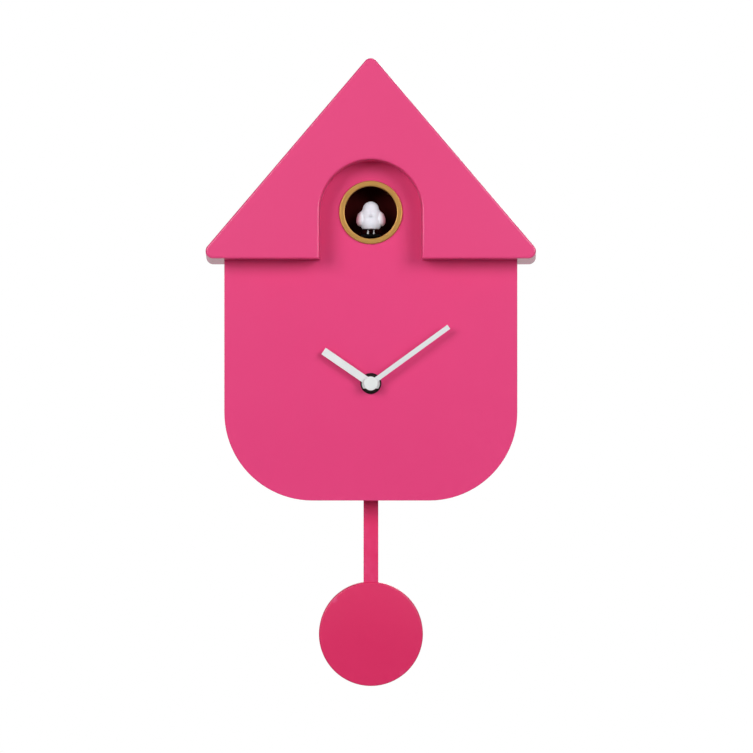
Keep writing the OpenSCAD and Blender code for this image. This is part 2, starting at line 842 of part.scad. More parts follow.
module hour_wheel() {
    color("#e9e3d2")
    difference() {
        union() {
            slab(hour_gear_y, hour_gear_y + hour_gear_t) translate([0, dial_z])
                spur_outline(hour_teeth, transfer_m, motion_angle + 180 / hour_teeth);
            rod_y(0, dial_z, pipe_r, hour_hand_y - 0.3, hour_gear_y + eps);
        }
        rod_y(0, dial_z, shaft_r + run_fit, hour_hand_y - 2, hour_gear_y + 4);
    }
}

module hour_hand() {
    color("#f1f2f2")
    translate([0, 0, dial_z])
    difference() {
        union() {
            rotate([0, hour_angle, 0])
                box_between([-hour_w / 2, hour_hand_y, 0],
                    [hour_w / 2, hour_hand_y + hand_t, hour_len]);
            // Boss with two flats
            intersection() {
                rod_y(0, 0, hub_r, hour_hand_y, hour_hand_y + hand_t);
                box_between([-hub_r - 1, hour_hand_y - 1, -hub_flat],
                    [hub_r + 1, hour_hand_y + 2, hub_flat]);
            }
        }
        rod_y(0, 0, pipe_r, hour_hand_y - 1, hour_hand_y + 2);
    }
}

module minute_wheel() {
    color("#e9e3d2")
    difference() {
        union() {
            slab(motion_y, motion_y + motion_t) translate([arbor_x, arbor_z])
                spur_outline(minute_teeth, motion_m, motion_angle + 180 + 180 / minute_teeth);
            slab(hour_gear_y - 0.3, motion_y + eps) translate([arbor_x, arbor_z])
                spur_outline(transfer_teeth, transfer_m, motion_angle + 180);
        }
        rod_y(arbor_x, arbor_z, arbor_r, in_y, move_y);
    }
}

module setting_knob() {
    color("#33353a") {
        rod_y(arbor_x, arbor_z, arbor_r, in_y + 0.6, move_y + 1);
        difference() {
            rod_y(arbor_x, arbor_z, knob_r, move_y + 0.3, move_y + 5);
            for (a = [0 : 15 : 345]) {
                rod_y(arbor_x + (knob_r + 0.25) * cos(a), arbor_z + (knob_r + 0.25) * sin(a), 0.6,
                    move_y, move_y + 6);
            }
        }
    }
}

// ---------- bird and its drive ----------

module guide_frame() {
    front = tunnel_back_y;
    low = frame_floor_z - frame_floor_t;
    color("#3a3b3f")
    difference() {
        union() {
            box_between([-rail_x - rail_t, front, low],
                [plate_x + plate_t, front + frame_len, frame_floor_z]);
            for (side = [-1, 1]) {
                x0 = side > 0 ? rail_x : -rail_x - rail_t;
                box_between([x0, front, low], [x0 + rail_t, front + frame_len, slide_top + 1]);
                box_between([x0, front + 2.5, low], [x0 + rail_t, front + 9.5, drive_z + 4]);
            }
            // Plate that carries the gear's end and the motor
            box_between([plate_x, front, low], [plate_x + plate_t, motor_y + 7, motor_z + 6]);
            // Screw tabs against the tunnel's end
            box_between([frame_holes[0][0] - 3.5, front, low],
                [-rail_x, front + 2, frame_holes[0][1] + 3.5]);
            box_between([rail_x, front, low],
                [plate_x + eps, front + 2, frame_holes[1][1] + 3.5]);
        }
        rod_x(drive_y, drive_z, drive_shaft_r + run_fit, -20, plate_x + plate_t + 1);
        rod_x(motor_y, motor_z, motor_shaft_r + 0.5, plate_x - 1, plate_x + plate_t + 1);
        for (p = frame_holes) {
            rod_y(p[0], p[1], screw_r + 0.1, front - 1, front + 3);
        }
        for (p = motor_holes) {
            rod_x(p[0], p[1], motor_screw_r, plate_x - 1, plate_x + plate_t + 1);
        }
        // Room for the slide under the tabs
        box_between([-rail_x, front - 1, frame_floor_z], [rail_x, front + 40, slide_top + 1.4]);
    }
}

module frame_screws() {
    color("#b9bbbd") {
        for (p = frame_holes) {
            screw_y(p[0], p[1], tunnel_back_y + 2 + 1.6, 3.2, 2.6, 1.6);
        }
        for (side = [-1, 1]) {
            screw_y(side * flange_x, hole_z, in_y + flange_t + 1.6, flange_t + 1.6, 2.4, 1.6);
        }
        for (p = motor_holes) {
            rod_x(p[0], p[1], motor_screw_r, plate_x - 3, plate_x + plate_t + eps);
            rod_x(p[0], p[1], 1.6, plate_x + plate_t, plate_x + plate_t + 0.6);
        }
    }
}

module bird_motor() {
    color("#a7abaf")
    difference() {
        union() {
            intersection() {
                rod_x(motor_y, motor_z, motor_r, plate_x - motor_len, plate_x);
                box_between([plate_x - 50, motor_y - motor_r, motor_z - 6.2],
                    [plate_x + 1, motor_y + motor_r, motor_z + 6.2]);
            }
            rod_x(motor_y, motor_z, 2.5, plate_x - motor_len - 1.2, plate_x - motor_len + eps);
        }
        rod_x(motor_y, motor_z, motor_shaft_r + run_fit, plate_x - 8, plate_x + 1);
        for (p = motor_holes) {
            rod_x(p[0], p[1], motor_screw_r, plate_x - 3, plate_x + 1);
        }
    }
}

// Spur gear on an X axle; angles run from +Y towards +Z
module spur_x(teeth, m, tooth_at, y, z, x0, x1) {
    translate([x0, y, z]) rotate([90, 0, 90]) linear_extrude(x1 - x0) spur_outline(teeth, m, tooth_at);
}

module motor_pinion() {
    color("#c9a24b") {
        rod_x(motor_y, motor_z, motor_shaft_r, plate_x - 7.5, gear_x + gear_t + 0.6);
        spur_x(motor_teeth, drive_m, motor_angle + 180, motor_y, motor_z, gear_x, gear_x + gear_t);
    }
}

module drive_gear() {
    color("#e9e3d2") {
        rod_x(drive_y, drive_z, drive_shaft_r, -rail_x - rail_t, gear_x + gear_t + 0.6);
        spur_x(drive_teeth, drive_m, motor_angle + 180 / drive_teeth, drive_y, drive_z,
            gear_x, gear_x + gear_t);
        spur_x(pinion_teeth, rack_m, -90, drive_y, drive_z, -slide_half + 2.5, slide_half - 2.5);
    }
}

// Rack teeth are cut so that a gap faces the pinion's lowest tooth
module bird_slide() {
    pitch = PI * rack_m;
    half_mid = pitch / 4 - backlash / 2;
    tip_half = half_mid - rack_m * addendum * tan(pressure);
    root_half = half_mid + rack_m * dedendum * tan(pressure);
    first = -floor((drive_y - (tunnel_back_y + 1.5)) / pitch);
    last = floor((slide_back_y - 1 - drive_y) / pitch) - 1;
    color("#1c1a1b")
    difference() {
        union() {
            box_between([-slide_half, slide_front_y, slide_top - slide_t],
                [slide_half, slide_back_y, slide_top]);
            translate([-slide_half + 2.8, 0, 0])
            for (k = [first : last]) {
                translate([0, drive_y + (k + 0.5) * pitch, slide_top])
                rotate([90, 0, 90]) linear_extrude(slide_w - 5.6)
                    polygon([
                        [-root_half, -0.3],
                        [root_half, -0.3],
                        [root_half, 0],
                        [tip_half, rack_tip_z - slide_top],
                        [-tip_half, rack_tip_z - slide_top],
                        [-root_half, 0]
                    ]);
            }
        }
        for (side = [-1, 1]) {
            translate([side * leg_x, bird_y, slide_top - 1]) cylinder(r = leg_r, h = 3);
        }
    }
}

module bird_legs() {
    color("#8d8f93")
    for (side = [-1, 1]) {
        translate([side * leg_x, bird_y, slide_top - 1])
            cylinder(r = leg_r, h = bird_low - slide_top + 3);
    }
}

module bird_form() {
    intersection() {
        union() {
            hull() {
                translate([0, bird_y - 2.6, bird_low + 12.2]) sphere(r = 5.5, $fn = 32);
                translate([0, bird_y - 1.2, bird_low + 5.6]) sphere(r = 7.3, $fn = 32);
                translate([0, bird_y + 7, bird_low + 7.4]) sphere(r = 2.2, $fn = 32);
            }
            translate([0, bird_y - 7.2, bird_low + 11.4]) rotate([90, 0, 0])
                cylinder(r1 = 1.6, r2 = 0.4, h = 3, $fn = 24);
        }
        box_between([-20, bird_y - 20, bird_low], [20, bird_y + 20, bird_low + 40]);
    }
}

module bird_body() {
    color("#e6e3ec")
    difference() {
        bird_form();
        for (side = [-1, 1]) {
            translate([side * leg_x, bird_y, slide_top])
                cylinder(r = leg_r, h = bird_low - slide_top + 2);
        }
    }
}

module bird_wings() {
    color("#dcd2dc")
    difference() {
        for (side = [-1, 1]) {
            hull() {
                translate([side * 5.9, bird_y - 1.6, bird_low + 9.7]) sphere(r = 3, $fn = 24);
                translate([side * 6.8, bird_y - 0.8, bird_low + 6.2]) sphere(r = 2.7, $fn = 24);
                translate([side * 4.6, bird_y + 7, bird_low + 5.6]) sphere(r = 1, $fn = 24);
            }
        }
        bird_form();
    }
}

// ---------- pendulum ----------

module pendulum_hanger() {
    color("#26272b")
    difference() {
        union() {
            slab(hanger_y, hanger_y + hanger_t) {
                translate([0, pivot_z]) circle(r = 4);
                translate([-4, peg_z]) square([8, pivot_z - peg_z]);
                translate([0, peg_z]) circle(r = 4);
                translate([0, coil_z]) circle(r = 6.5);
            }
            rod_y(0, peg_z, peg_r, hanger_y + hanger_t - eps, rod_y + rod_t + 0.6);
        }
        rod_y(0, pivot_z, arbor_r + run_fit, hanger_y - 1, hanger_y + hanger_t + 1);
        rod_y(0, coil_z, 5, hanger_y - 1, hanger_y + hanger_t - 0.5);
    }
}

module pendulum_magnet() {
    color("#9b9da0") rod_y(0, coil_z, 5, hanger_y, hanger_y + hanger_t - 0.5);
}

module pendulum_rod() {
    color("#dc3c6d")
    difference() {
        slab(rod_y, rod_y + rod_t) {
            translate([-rod_w / 2, disc_z - 5]) square([rod_w, peg_z + 1 - disc_z + 5]);
            translate([0, peg_z + 1]) circle(r = rod_w / 2);
        }
        rod_y(0, peg_z, peg_r, rod_y - 1, rod_y + rod_t + 1);
    }
}

module pendulum_disc() {
    color("#d7306a")
    difference() {
        intersection() {
            rod_y(0, disc_z, disc_d / 2, disc_y, disc_y + disc_t);
            translate([0, disc_y + crown_r, disc_z]) sphere(r = crown_r, $fn = 360);
        }
        box_between([-rod_w / 2, rod_y, disc_z - 5], [rod_w / 2, rod_y + rod_t, disc_z + disc_d]);
    }
}

// ---------- power ----------

module battery_box() {
    half_w = box_in_w / 2;
    half_h = box_in_h / 2;
    color("#202124")
    difference() {
        union() {
            box_between([box_x - half_w - box_wall, box_floor_y - box_wall, box_z - half_h - box_wall],
                [box_x + half_w + box_wall, box_y, box_z + half_h + box_wall]);
            for (p = box_holes) {
                box_between([p[0] - 4, box_y - 3, p[1] - 3.6], [p[0] + 4, cover_y, p[1] + 3.6]);
            }
        }
        box_between([box_x - half_w, box_floor_y, box_z - half_h],
            [box_x + half_w, box_y + 1, box_z + half_h]);
        for (p = box_holes) {
            rod_y(p[0], p[1], screw_r, box_y - 4, cover_y + 1);
        }
    }
}

module box_cells() {
    color("#c7ccd1")
    for (i = [0 : box_cells_n - 1]) {
        flip = i % 2 == 0 ? 1 : -1;
        translate([box_x + (i - 1) * cell_pitch, box_floor_y + cell_d / 2 + 0.4, box_z])
        rotate([flip > 0 ? 0 : 180, 0, 0]) translate([0, 0, -cell_len / 2 - 0.3]) {
            cylinder(r = cell_d / 2, h = cell_len);
            cylinder(r = 2.7, h = cell_len + 1.2);
        }
    }
}

module box_contacts() {
    half_h = box_in_h / 2;
    color("#d3d5d6")
    for (i = [0 : box_cells_n - 1]) {
        flip = i % 2 == 0 ? 1 : -1;
        x = box_x + (i - 1) * cell_pitch;
        y = box_floor_y + cell_d / 2 + 0.4;
        translate([x, y, box_z]) rotate([flip > 0 ? 0 : 180, 0, 0]) {
            box_between([-5, -5, half_h - 0.6], [5, 5, half_h]);
            translate([0, 0, cell_len / 2 + 0.9])
                cylinder(r = 2.6, h = half_h - 0.6 - cell_len / 2 - 0.9 + eps);
            box_between([-5, -5, -half_h], [5, 5, -half_h + 0.6]);
            translate([0, 0, -half_h + 0.6 - eps])
                cylinder(r1 = 4.6, r2 = 2.4, h = half_h - 0.6 - cell_len / 2 - 0.3 + eps);
        }
    }
}

// ---------- sound ----------

module speaker_basket() {
    r = speaker_d / 2;
    color("#4a4c50")
    difference() {
        union() {
            rod_y(speaker_x, speaker_z, r, cover_y - 1.6, cover_y);
            translate([speaker_x, cover_y - 1.6 + eps, speaker_z]) rotate([90, 0, 0])
                cylinder(r1 = r - 1.5, r2 = 13, h = 9);
            for (p = speaker_holes) {
                ear_half = 2.4;
                inner_x = speaker_x + (p[0] - speaker_x) * 0.7;
                inner_z = speaker_z + (p[1] - speaker_z) * 0.7;
                rod_y(p[0], p[1], 3, cover_y - 1.6, cover_y);
                slab(cover_y - 1.6, cover_y)
                    polygon([
                        [p[0], p[1] - ear_half],
                        [p[0], p[1] + ear_half],
                        [inner_x, inner_z + ear_half],
                        [inner_x, inner_z - ear_half]
                    ]);
            }
        }
        translate([speaker_x, cover_y + eps, speaker_z]) rotate([90, 0, 0])
            cylinder(r1 = r - 2.2, r2 = 10.5, h = 10 + eps);
        rod_y(speaker_x, speaker_z, 10.5, cover_y - 12, cover_y - 9);
        for (p = speaker_holes) {
            rod_y(p[0], p[1], screw_r, cover_y - 3, cover_y + 1);
        }
    }
}

module speaker_cone() {
    color("#2a2a2c")
    translate([speaker_x, cover_y - 1.4, speaker_z]) rotate([90, 0, 0]) {
        difference() {
            cylinder(r1 = speaker_d / 2 - 4.6, r2 = 9, h = 7);
            translate([0, 0, -eps]) cylinder(r1 = speaker_d / 2 - 5.4, r2 = 8, h = 6.4);
        }
    }
}

module speaker_magnet() {
    color("#8f9296")
    rod_y(speaker_x, speaker_z, 13, cover_y - 19, cover_y - 10.6);
    color("#d3d5d6")
    rod_y(speaker_x, speaker_z, 6, cover_y - 10.6 - eps, cover_y - 9);
}

// Screws of the loudspeaker and the battery box, driven from inside into the cover
module inner_screws() {
    color("#b9bbbd") {
        for (p = speaker_holes) {
            rod_y(p[0], p[1], screw_r, cover_y - 1.6 - eps, pilot_y);
            rod_y(p[0], p[1], 2.6, cover_y - 3.2, cover_y - 1.6);
        }
        for (p = box_holes) {
            rod_y(p[0], p[1], screw_r, box_y - 3 - eps, pilot_y);
            rod_y(p[0], p[1], 2.6, box_y - 4.6, box_y - 3);
        }
    }
}

module sound_board() {
    color("#2f6b3c")
    difference() {
        box_between([board_x - board_w / 2, board_y - board_t, board_z - board_h / 2],
            [board_x + board_w / 2, board_y, board_z + board_h / 2]);
        for (p = board_holes) {
            rod_y(p[0], p[1], screw_r, board_y - 3, board_y + 1);
        }
    }
    // Chips and capacitors on the front side
    color("#17181b") {
        box_between([board_x - 8, board_y - board_t - 2, board_z - 4],
            [board_x + 8, board_y - board_t + eps, board_z + 6]);
        rod_y(board_x - 16, board_z - 6, 3, board_y - board_t - 8, board_y - board_t + eps);
        rod_y(board_x + 15, board_z - 6, 3, board_y - board_t - 8, board_y - board_t + eps);
    }
}

// Stand-off sleeves and the screws through them
module board_screws() {
    color("#b9bbbd")
    for (p = board_holes) {
        rod_y(p[0], p[1], 2.8, board_y - board_t - 1.6, board_y - board_t);
        rod_y(p[0], p[1], screw_r, board_y - board_t - eps, pilot_y);
        rod_y(p[0], p[1], 2.8, board_y, cover_y);
    }
}

module mode_switch() {
    color("#9a9da1")
    difference() {
        box_between([switch_x - 7, board_y, board_z - 3.4],
            [switch_x + 7, cover_y - 1.5, board_z + 3.4]);
        box_between([switch_x - 5.2, board_y + 2.5, board_z - 1.5],
            [switch_x + 5.2, cover_y, board_z + 1.5]);
    }
}

module mode_slider() {
    color("#18191c")
    box_between([switch_x - 2, board_y + 2.8, board_z - 1.2], [switch_x + 2, -0.4, board_z + 1.2]);
}

module button_switch() {
    color("#9a9da1")
    difference() {
        box_between([button_x - 3.5, board_y, board_z - 3.5],
            [button_x + 3.5, board_y + 2, board_z + 3.5]);
        rod_y(button_x, board_z, 2.2, board_y + 0.6, board_y + 3);
    }
}

module test_button() {
    color("#18191c") {
        rod_y(button_x, board_z, button_r, cover_y - 2.4, -0.4);
        rod_y(button_x, board_z, button_r + 1.2, cover_y - 3.2, cover_y - 2.3);
        rod_y(button_x, board_z, 0.9, board_y + 2.4, cover_y - 3);
    }
}

// Flat-wound return spring around the button's stem
module button_spring() {
    turns = 4;
    low = board_y + 2;
    high = cover_y - 3.2;
    color("#c9ccce")
    for (i = [0 : turns - 1]) {
        translate([button_x, low + 0.35 + i * (high - low - 0.7) / (turns - 1), board_z])
            rotate([90, 0, 0]) rotate_extrude() translate([1.9, 0]) circle(r = 0.3);
    }
    color("#c9ccce")
    box_between([button_x - 2.1, low + 0.1, board_z - 0.25],
        [button_x - 1.7, high - 0.1, board_z + 0.25]);
}

module light_sensor() {
    color("#c9c3b8")
    translate([sensor_x, sensor_y, bottom_z + 0.6]) {
        cylinder(r = sensor_r, h = wall + 2);
        translate([0, 0, wall - 0.6]) cylinder(r = sensor_r + 1, h = 1.2);
    }
}

// Pairs from the sound board to the battery box, the loudspeaker and the motor
module wiring() {
    r = 0.7;
    board_front = board_y - board_t;
    color("#b3202a")
    wire([[board_x + 10, board_front - r, board_z + 8], [board_x + 12, board_front - 6, board_z + 9],
        [board_x + 30, board_front - 9, board_z + 6], [0, board_front - 9, board_z - 4],
        [box_x - 16, box_floor_y - 3, board_z - 8],
        [box_x - 10, box_floor_y - 4, box_z + box_in_h / 2 + 3],
        [box_x - 10, box_floor_y - box_wall - r, box_z + box_in_h / 2 - 8]], r);
    color("#1e1f22")
    wire([[board_x - 2, board_front - r, board_z - 12], [board_x - 2, board_front - 6, board_z - 15],
        [speaker_x + 5, board_front - 10, speaker_z + 22],
        [speaker_x + 3, cover_y - 19 - 3, speaker_z + 15],
        [speaker_x + 3, cover_y - 19 - r, speaker_z + 8]], r);
    color("#d8b33a")
    wire([[board_x + 14, board_front - r, board_z + 13], [board_x + 16, board_front - 6, board_z + 16],
        [board_x + 26, board_front - 6, board_z + 26], [-18, motor_y, motor_z - 14],
        [-8, motor_y, motor_z - 3], [plate_x - motor_len - 3, motor_y + 4, motor_z + 1],
        [plate_x - motor_len - r, motor_y + 5, motor_z + 2]], r);
}

front_housing();
roof_shell();
back_cover();
battery_door();
hole_ring();
bird_tunnel();
case_screws();
roof_screws();
movement_case();
movement_cover();
threaded_bush();
movement_board();
stepper_coil();
stepper_stator();
pendulum_coil();
movement_cell();
movement_contacts();
dial_washer();
fixing_nut();
minute_shaft();
minute_hand();
hand_cap();
hour_wheel();
hour_hand();
minute_wheel();
setting_knob();
guide_frame();
frame_screws();
bird_motor();
motor_pinion();
drive_gear();
bird_slide();
bird_legs();
bird_body();
bird_wings();
pendulum_hanger();
pendulum_magnet();
pendulum_rod();
pendulum_disc();
battery_box();
box_contacts();
box_cells();
speaker_basket();
speaker_cone();
speaker_magnet();
inner_screws();
sound_board();
board_screws();
mode_switch();
mode_slider();
button_switch();
test_button();
button_spring();
light_sensor();
wiring();
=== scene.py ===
# Wall cuckoo clock: finished surfaces, bird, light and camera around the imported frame.
# Lengths are metres, in the frame's own axes: +Z up, the front faces -Y.
import json
import math

import bmesh
import bpy
from mathutils import Matrix, Vector


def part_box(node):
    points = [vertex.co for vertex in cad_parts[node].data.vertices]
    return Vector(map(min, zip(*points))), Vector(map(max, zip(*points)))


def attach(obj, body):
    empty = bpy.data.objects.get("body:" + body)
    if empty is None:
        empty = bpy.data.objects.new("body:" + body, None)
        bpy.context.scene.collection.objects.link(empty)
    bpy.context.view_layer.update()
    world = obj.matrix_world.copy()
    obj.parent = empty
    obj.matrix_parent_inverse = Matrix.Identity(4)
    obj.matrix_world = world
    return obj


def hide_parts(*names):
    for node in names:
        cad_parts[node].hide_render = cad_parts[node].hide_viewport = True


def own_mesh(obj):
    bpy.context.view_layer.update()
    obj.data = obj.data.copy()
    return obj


MM = 0.001
WELD = 0.000002
FLAT = math.radians(0.4)
CREASE = math.radians(32)

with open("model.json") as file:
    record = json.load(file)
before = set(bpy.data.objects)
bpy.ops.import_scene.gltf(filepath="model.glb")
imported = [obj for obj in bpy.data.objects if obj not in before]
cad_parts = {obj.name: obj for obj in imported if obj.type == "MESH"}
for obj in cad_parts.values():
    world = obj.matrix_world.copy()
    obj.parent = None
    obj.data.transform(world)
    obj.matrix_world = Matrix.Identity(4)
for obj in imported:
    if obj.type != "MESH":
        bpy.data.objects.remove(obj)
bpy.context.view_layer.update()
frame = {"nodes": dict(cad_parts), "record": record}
nodes = frame["nodes"]
body_of = {n: b for b, members in frame["record"]["behaviour"]["bodies"].items() for n in members}
slot_of = {p["node"]: p["material_slot"] for p in frame["record"]["subparts"]}

# ---------- camera, light and floor ----------

EYE = Vector((0.0036, -1.58, -0.1393))
LENS = 114.6
LAMP_SPREAD = math.radians(84)
SUNK = (-0.3, 0.3)  # heights of view direction between which the world brightens
WALL = (0.2, 0.9)  # the same towards the wall
MIDDLE = Vector((0.0, -0.04, 0.05))


def place_camera():
    data = bpy.data.cameras.new("camera")
    data.lens = LENS
    data.sensor_width = 36
    data.clip_end = 20
    camera = bpy.data.objects.new("camera", data)
    camera.location = EYE
    camera.rotation_euler = (math.radians(90), 0, 0)
    bpy.context.scene.collection.objects.link(camera)
    bpy.context.scene.camera = camera


def soft_lamp(name, place, size, watts, tint):
    data = bpy.data.lights.new(name, "AREA")
    data.shape = "DISK"
    data.size = size
    data.energy = watts
    data.color = tint
    data.spread = LAMP_SPREAD
    lamp = bpy.data.objects.new(name, data)
    lamp.location = place
    lamp.rotation_euler = (MIDDLE - Vector(place)).to_track_quat("-Z", "Y").to_euler()
    bpy.context.scene.collection.objects.link(lamp)


def studio_world(low, high, behind):
    """Plain white behind the object; what lights it is softer, darker from below, and
    brighter from the wall side."""
    world = bpy.data.worlds.new("studio")
    bpy.context.scene.world = world
    world.use_nodes = True
    tree = world.node_tree
    tree.nodes.clear()
    out = tree.nodes.new("ShaderNodeOutputWorld")
    seen = tree.nodes.new("ShaderNodeBackground")
    seen.inputs["Color"].default_value = (1, 1, 1, 1)
    glow = tree.nodes.new("ShaderNodeBackground")
    where = tree.nodes.new("ShaderNodeTexCoord")
    split = tree.nodes.new("ShaderNodeSeparateXYZ")
    tree.links.new(where.outputs["Generated"], split.inputs[0])
    ramp = tree.nodes.new("ShaderNodeMapRange")
    ramp.interpolation_type = "SMOOTHSTEP"
    for socket, value in zip(ramp.inputs[1:5], (*SUNK, low, high)):
        socket.default_value = value
    tree.links.new(split.outputs[2], ramp.inputs[0])
    wall = tree.nodes.new("ShaderNodeMapRange")
    for socket, value in zip(wall.inputs[1:5], (*WALL, 0.0, behind)):
        socket.default_value = value
    tree.links.new(split.outputs[1], wall.inputs[0])
    total = tree.nodes.new("ShaderNodeMath")
    tree.links.new(ramp.outputs[0], total.inputs[0])
    tree.links.new(wall.outputs[0], total.inputs[1])
    tree.links.new(total.outputs[0], glow.inputs["Strength"])
    path = tree.nodes.new("ShaderNodeLightPath")
    pick = tree.nodes.new("ShaderNodeMixShader")
    tree.links.new(path.outputs["Is Camera Ray"], pick.inputs[0])
    tree.links.new(glow.outputs[0], pick.inputs[1])
    tree.links.new(seen.outputs[0], pick.inputs[2])
    tree.links.new(pick.outputs[0], out.inputs[0])


place_camera()
SIDE_WATTS = 3.8
BACK_WATTS = 2.6
studio_world(0.03, 0.26, 0.62)
soft_lamp("lamp_left", (-0.95, -1.47, 0.38), 1.0, SIDE_WATTS, (1.0, 0.993, 0.995))
soft_lamp("lamp_right", (0.95, -1.47, 0.38), 1.0, SIDE_WATTS, (1.0, 0.993, 0.995))
soft_lamp("lamp_back", (0.3, 1.5, 0.5), 1.0, BACK_WATTS, (1.0, 1.0, 1.0))
bpy.context.scene.view_settings.view_transform = "Standard"

# ---------- shader helpers ----------


def feed(tree, socket, value):
    if isinstance(value, bpy.types.NodeSocket):
        tree.links.new(value, socket)
    elif isinstance(value, tuple) and len(value) == 3 and socket.type == "RGBA":
        socket.default_value = (*value, 1)
    else:
        socket.default_value = value


def mix(tree, factor, a, b, mode="MIX"):
    n = tree.nodes.new("ShaderNodeMix")
    n.data_type = "RGBA"
    n.blend_type = mode
    for socket, value in zip((n.inputs[0], n.inputs[6], n.inputs[7]), (factor, a, b)):
        feed(tree, socket, value)
    return n.outputs[2]


def calc(tree, operation, a, b=0.0):
    n = tree.nodes.new("ShaderNodeMath")
    n.operation = operation
    feed(tree, n.inputs[0], a)
    feed(tree, n.inputs[1], b)
    return n.outputs[0]


def spread(tree, value, a, b, to_a=0.0, to_b=1.0):
    n = tree.nodes.new("ShaderNodeMapRange")
    for socket, v in zip(n.inputs[:5], (value, a, b, to_a, to_b)):
        feed(tree, socket, v)
    return n.outputs[0]


def noise(tree, where, size, detail=2.0, rough=0.5):
    n = tree.nodes.new("ShaderNodeTexNoise")
    feed(tree, n.inputs["Vector"], where)
    feed(tree, n.inputs["Scale"], size)
    n.inputs["Detail"].default_value = detail
    n.inputs["Roughness"].default_value = rough
    return n.outputs[0]


def cells(tree, where, size, feature="F1"):
    n = tree.nodes.new("ShaderNodeTexVoronoi")
    n.feature = feature
    feed(tree, n.inputs["Vector"], where)
    feed(tree, n.inputs["Scale"], size)
    return n.outputs["Distance"]


def new_group(name, ins, outs):
    g = bpy.data.node_groups.new(name, "ShaderNodeTree")
    kinds = {"colour": "NodeSocketColor", "value": "NodeSocketFloat", "vector": "NodeSocketVector"}
    for label, kind in ins:
        g.interface.new_socket(name=label, in_out="INPUT", socket_type=kinds[kind])
    for label, kind in outs:
        g.interface.new_socket(name=label, in_out="OUTPUT", socket_type=kinds[kind])
    a = g.nodes.new("NodeGroupInput")
    b = g.nodes.new("NodeGroupOutput")
    return g, a.outputs, b.inputs


def tone_group():
    """Slow drift between two close colours, as in a sprayed or moulded skin."""
    g, i, o = new_group(
        "tone_drift",
        [("Where", "vector"), ("Colour", "colour"), ("Deep", "colour"), ("Size", "value")],
        [("Colour", "colour"), ("Mask", "value")],
    )
    cloud = noise(g, i["Where"], i["Size"], 3.0, 0.55)
    mask = spread(g, cloud, 0.3, 0.7)
    feed(g, o["Colour"], mix(g, mask, i["Colour"], i["Deep"]))
    feed(g, o["Mask"], mask)
    return g


def grain_group():
    """Fine skin of a coat or a moulding: a soft ripple with a finer tooth on it."""
    g, i, o = new_group(
        "fine_grain",
        [("Where", "vector"), ("Size", "value"), ("Tooth", "value")],
        [("Height", "value"), ("Mask", "value")],
    )
    ripple = noise(g, i["Where"], i["Size"], 2.0, 0.5)
    tooth = noise(g, i["Where"], calc(g, "MULTIPLY", i["Size"], 3.7), 1.0, 0.5)
    height = calc(g, "ADD", ripple, calc(g, "MULTIPLY", tooth, i["Tooth"]))
    feed(g, o["Height"], height)
    feed(g, o["Mask"], spread(g, ripple, 0.35, 0.65))
    return g


def edge_group():
    """Lighter line along outward edges, broken up by noise: partly wear, partly a painted
    highlight where edges catch the light.
    """
    g, i, o = new_group(
        "rubbed_and_lit_edge",
        [("Where", "vector"), ("Colour", "colour"), ("Rubbed", "colour"), ("Amount", "value")],
        [("Colour", "colour"), ("Mask", "value")],
    )
    shape = g.nodes.new("ShaderNodeNewGeometry")
    edge = spread(g, shape.outputs["Pointiness"], 0.52, 0.62)
    broken = spread(g, noise(g, i["Where"], 140.0, 3.0, 0.6), 0.35, 0.6, 0.35, 1.0)
    mask = calc(g, "MULTIPLY", calc(g, "MULTIPLY", edge, broken), i["Amount"])
    feed(g, o["Colour"], mix(g, mask, i["Colour"], i["Rubbed"]))
    feed(g, o["Mask"], mask)
    return g


def dust_group():
    """Thin dust on whatever looks upwards."""
    g, i, o = new_group(
        "settled_dust",
        [("Where", "vector"), ("Colour", "colour"), ("Dust", "colour"), ("Amount", "value")],
        [("Colour", "colour"), ("Mask", "value")],
    )
    shape = g.nodes.new("ShaderNodeNewGeometry")
    split = g.nodes.new("ShaderNodeSeparateXYZ")
    feed(g, split.inputs[0], shape.outputs["Normal"])
    up = spread(g, split.outputs[2], 0.25, 0.95)
    patchy = spread(g, noise(g, i["Where"], 55.0, 4.0, 0.65), 0.38, 0.72)
    mask = calc(g, "MULTIPLY", calc(g, "MULTIPLY", up, patchy), i["Amount"])
    feed(g, o["Colour"], mix(g, mask, i["Colour"], i["Dust"]))
    feed(g, o["Mask"], mask)
    return g


def turned_group():
    """Fine rings left by turning or brushing round the Y axis."""
    g, i, o = new_group("turned_rings", [("Where", "vector"), ("Size", "value")],
                        [("Mask", "value")])
    split = g.nodes.new("ShaderNodeSeparateXYZ")
    feed(g, split.inputs[0], i["Where"])
    x2 = calc(g, "MULTIPLY", split.outputs[0], split.outputs[0])
    z2 = calc(g, "MULTIPLY", split.outputs[2], split.outputs[2])
    radius = calc(g, "SQRT", calc(g, "ADD", x2, z2))
    joined = g.nodes.new("ShaderNodeCombineXYZ")
    feed(g, joined.inputs[0], radius)
    feed(g, joined.inputs[1], calc(g, "MULTIPLY", split.outputs[1], 0.3))
    rings = noise(g, joined.outputs[0], i["Size"], 2.0, 0.6)
    feed(g, o["Mask"], spread(g, rings, 0.3, 0.7))
    return g


def thread_group():
    """Even turns of wire, side by side along Y."""
    g, i, o = new_group("wound_turns", [("Where", "vector"), ("Size", "value")],
                        [("Mask", "value")])
    n = g.nodes.new("ShaderNodeTexWave")
    n.wave_type = "BANDS"
    n.bands_direction = "Y"
    feed(g, n.inputs["Vector"], i["Where"])
    feed(g, n.inputs["Scale"], i["Size"])
    n.inputs["Distortion"].default_value = 0.4
    feed(g, o["Mask"], n.outputs["Fac"])
    return g


TONE = tone_group()
GRAIN = grain_group()
EDGE = edge_group()
DUST = dust_group()
TURNED = turned_group()
WOUND = thread_group()


def use(tree, group, **values):
    n = tree.nodes.new("ShaderNodeGroup")
    n.node_tree = group
    for label, value in values.items():
        feed(tree, n.inputs[label], value)
    return n.outputs


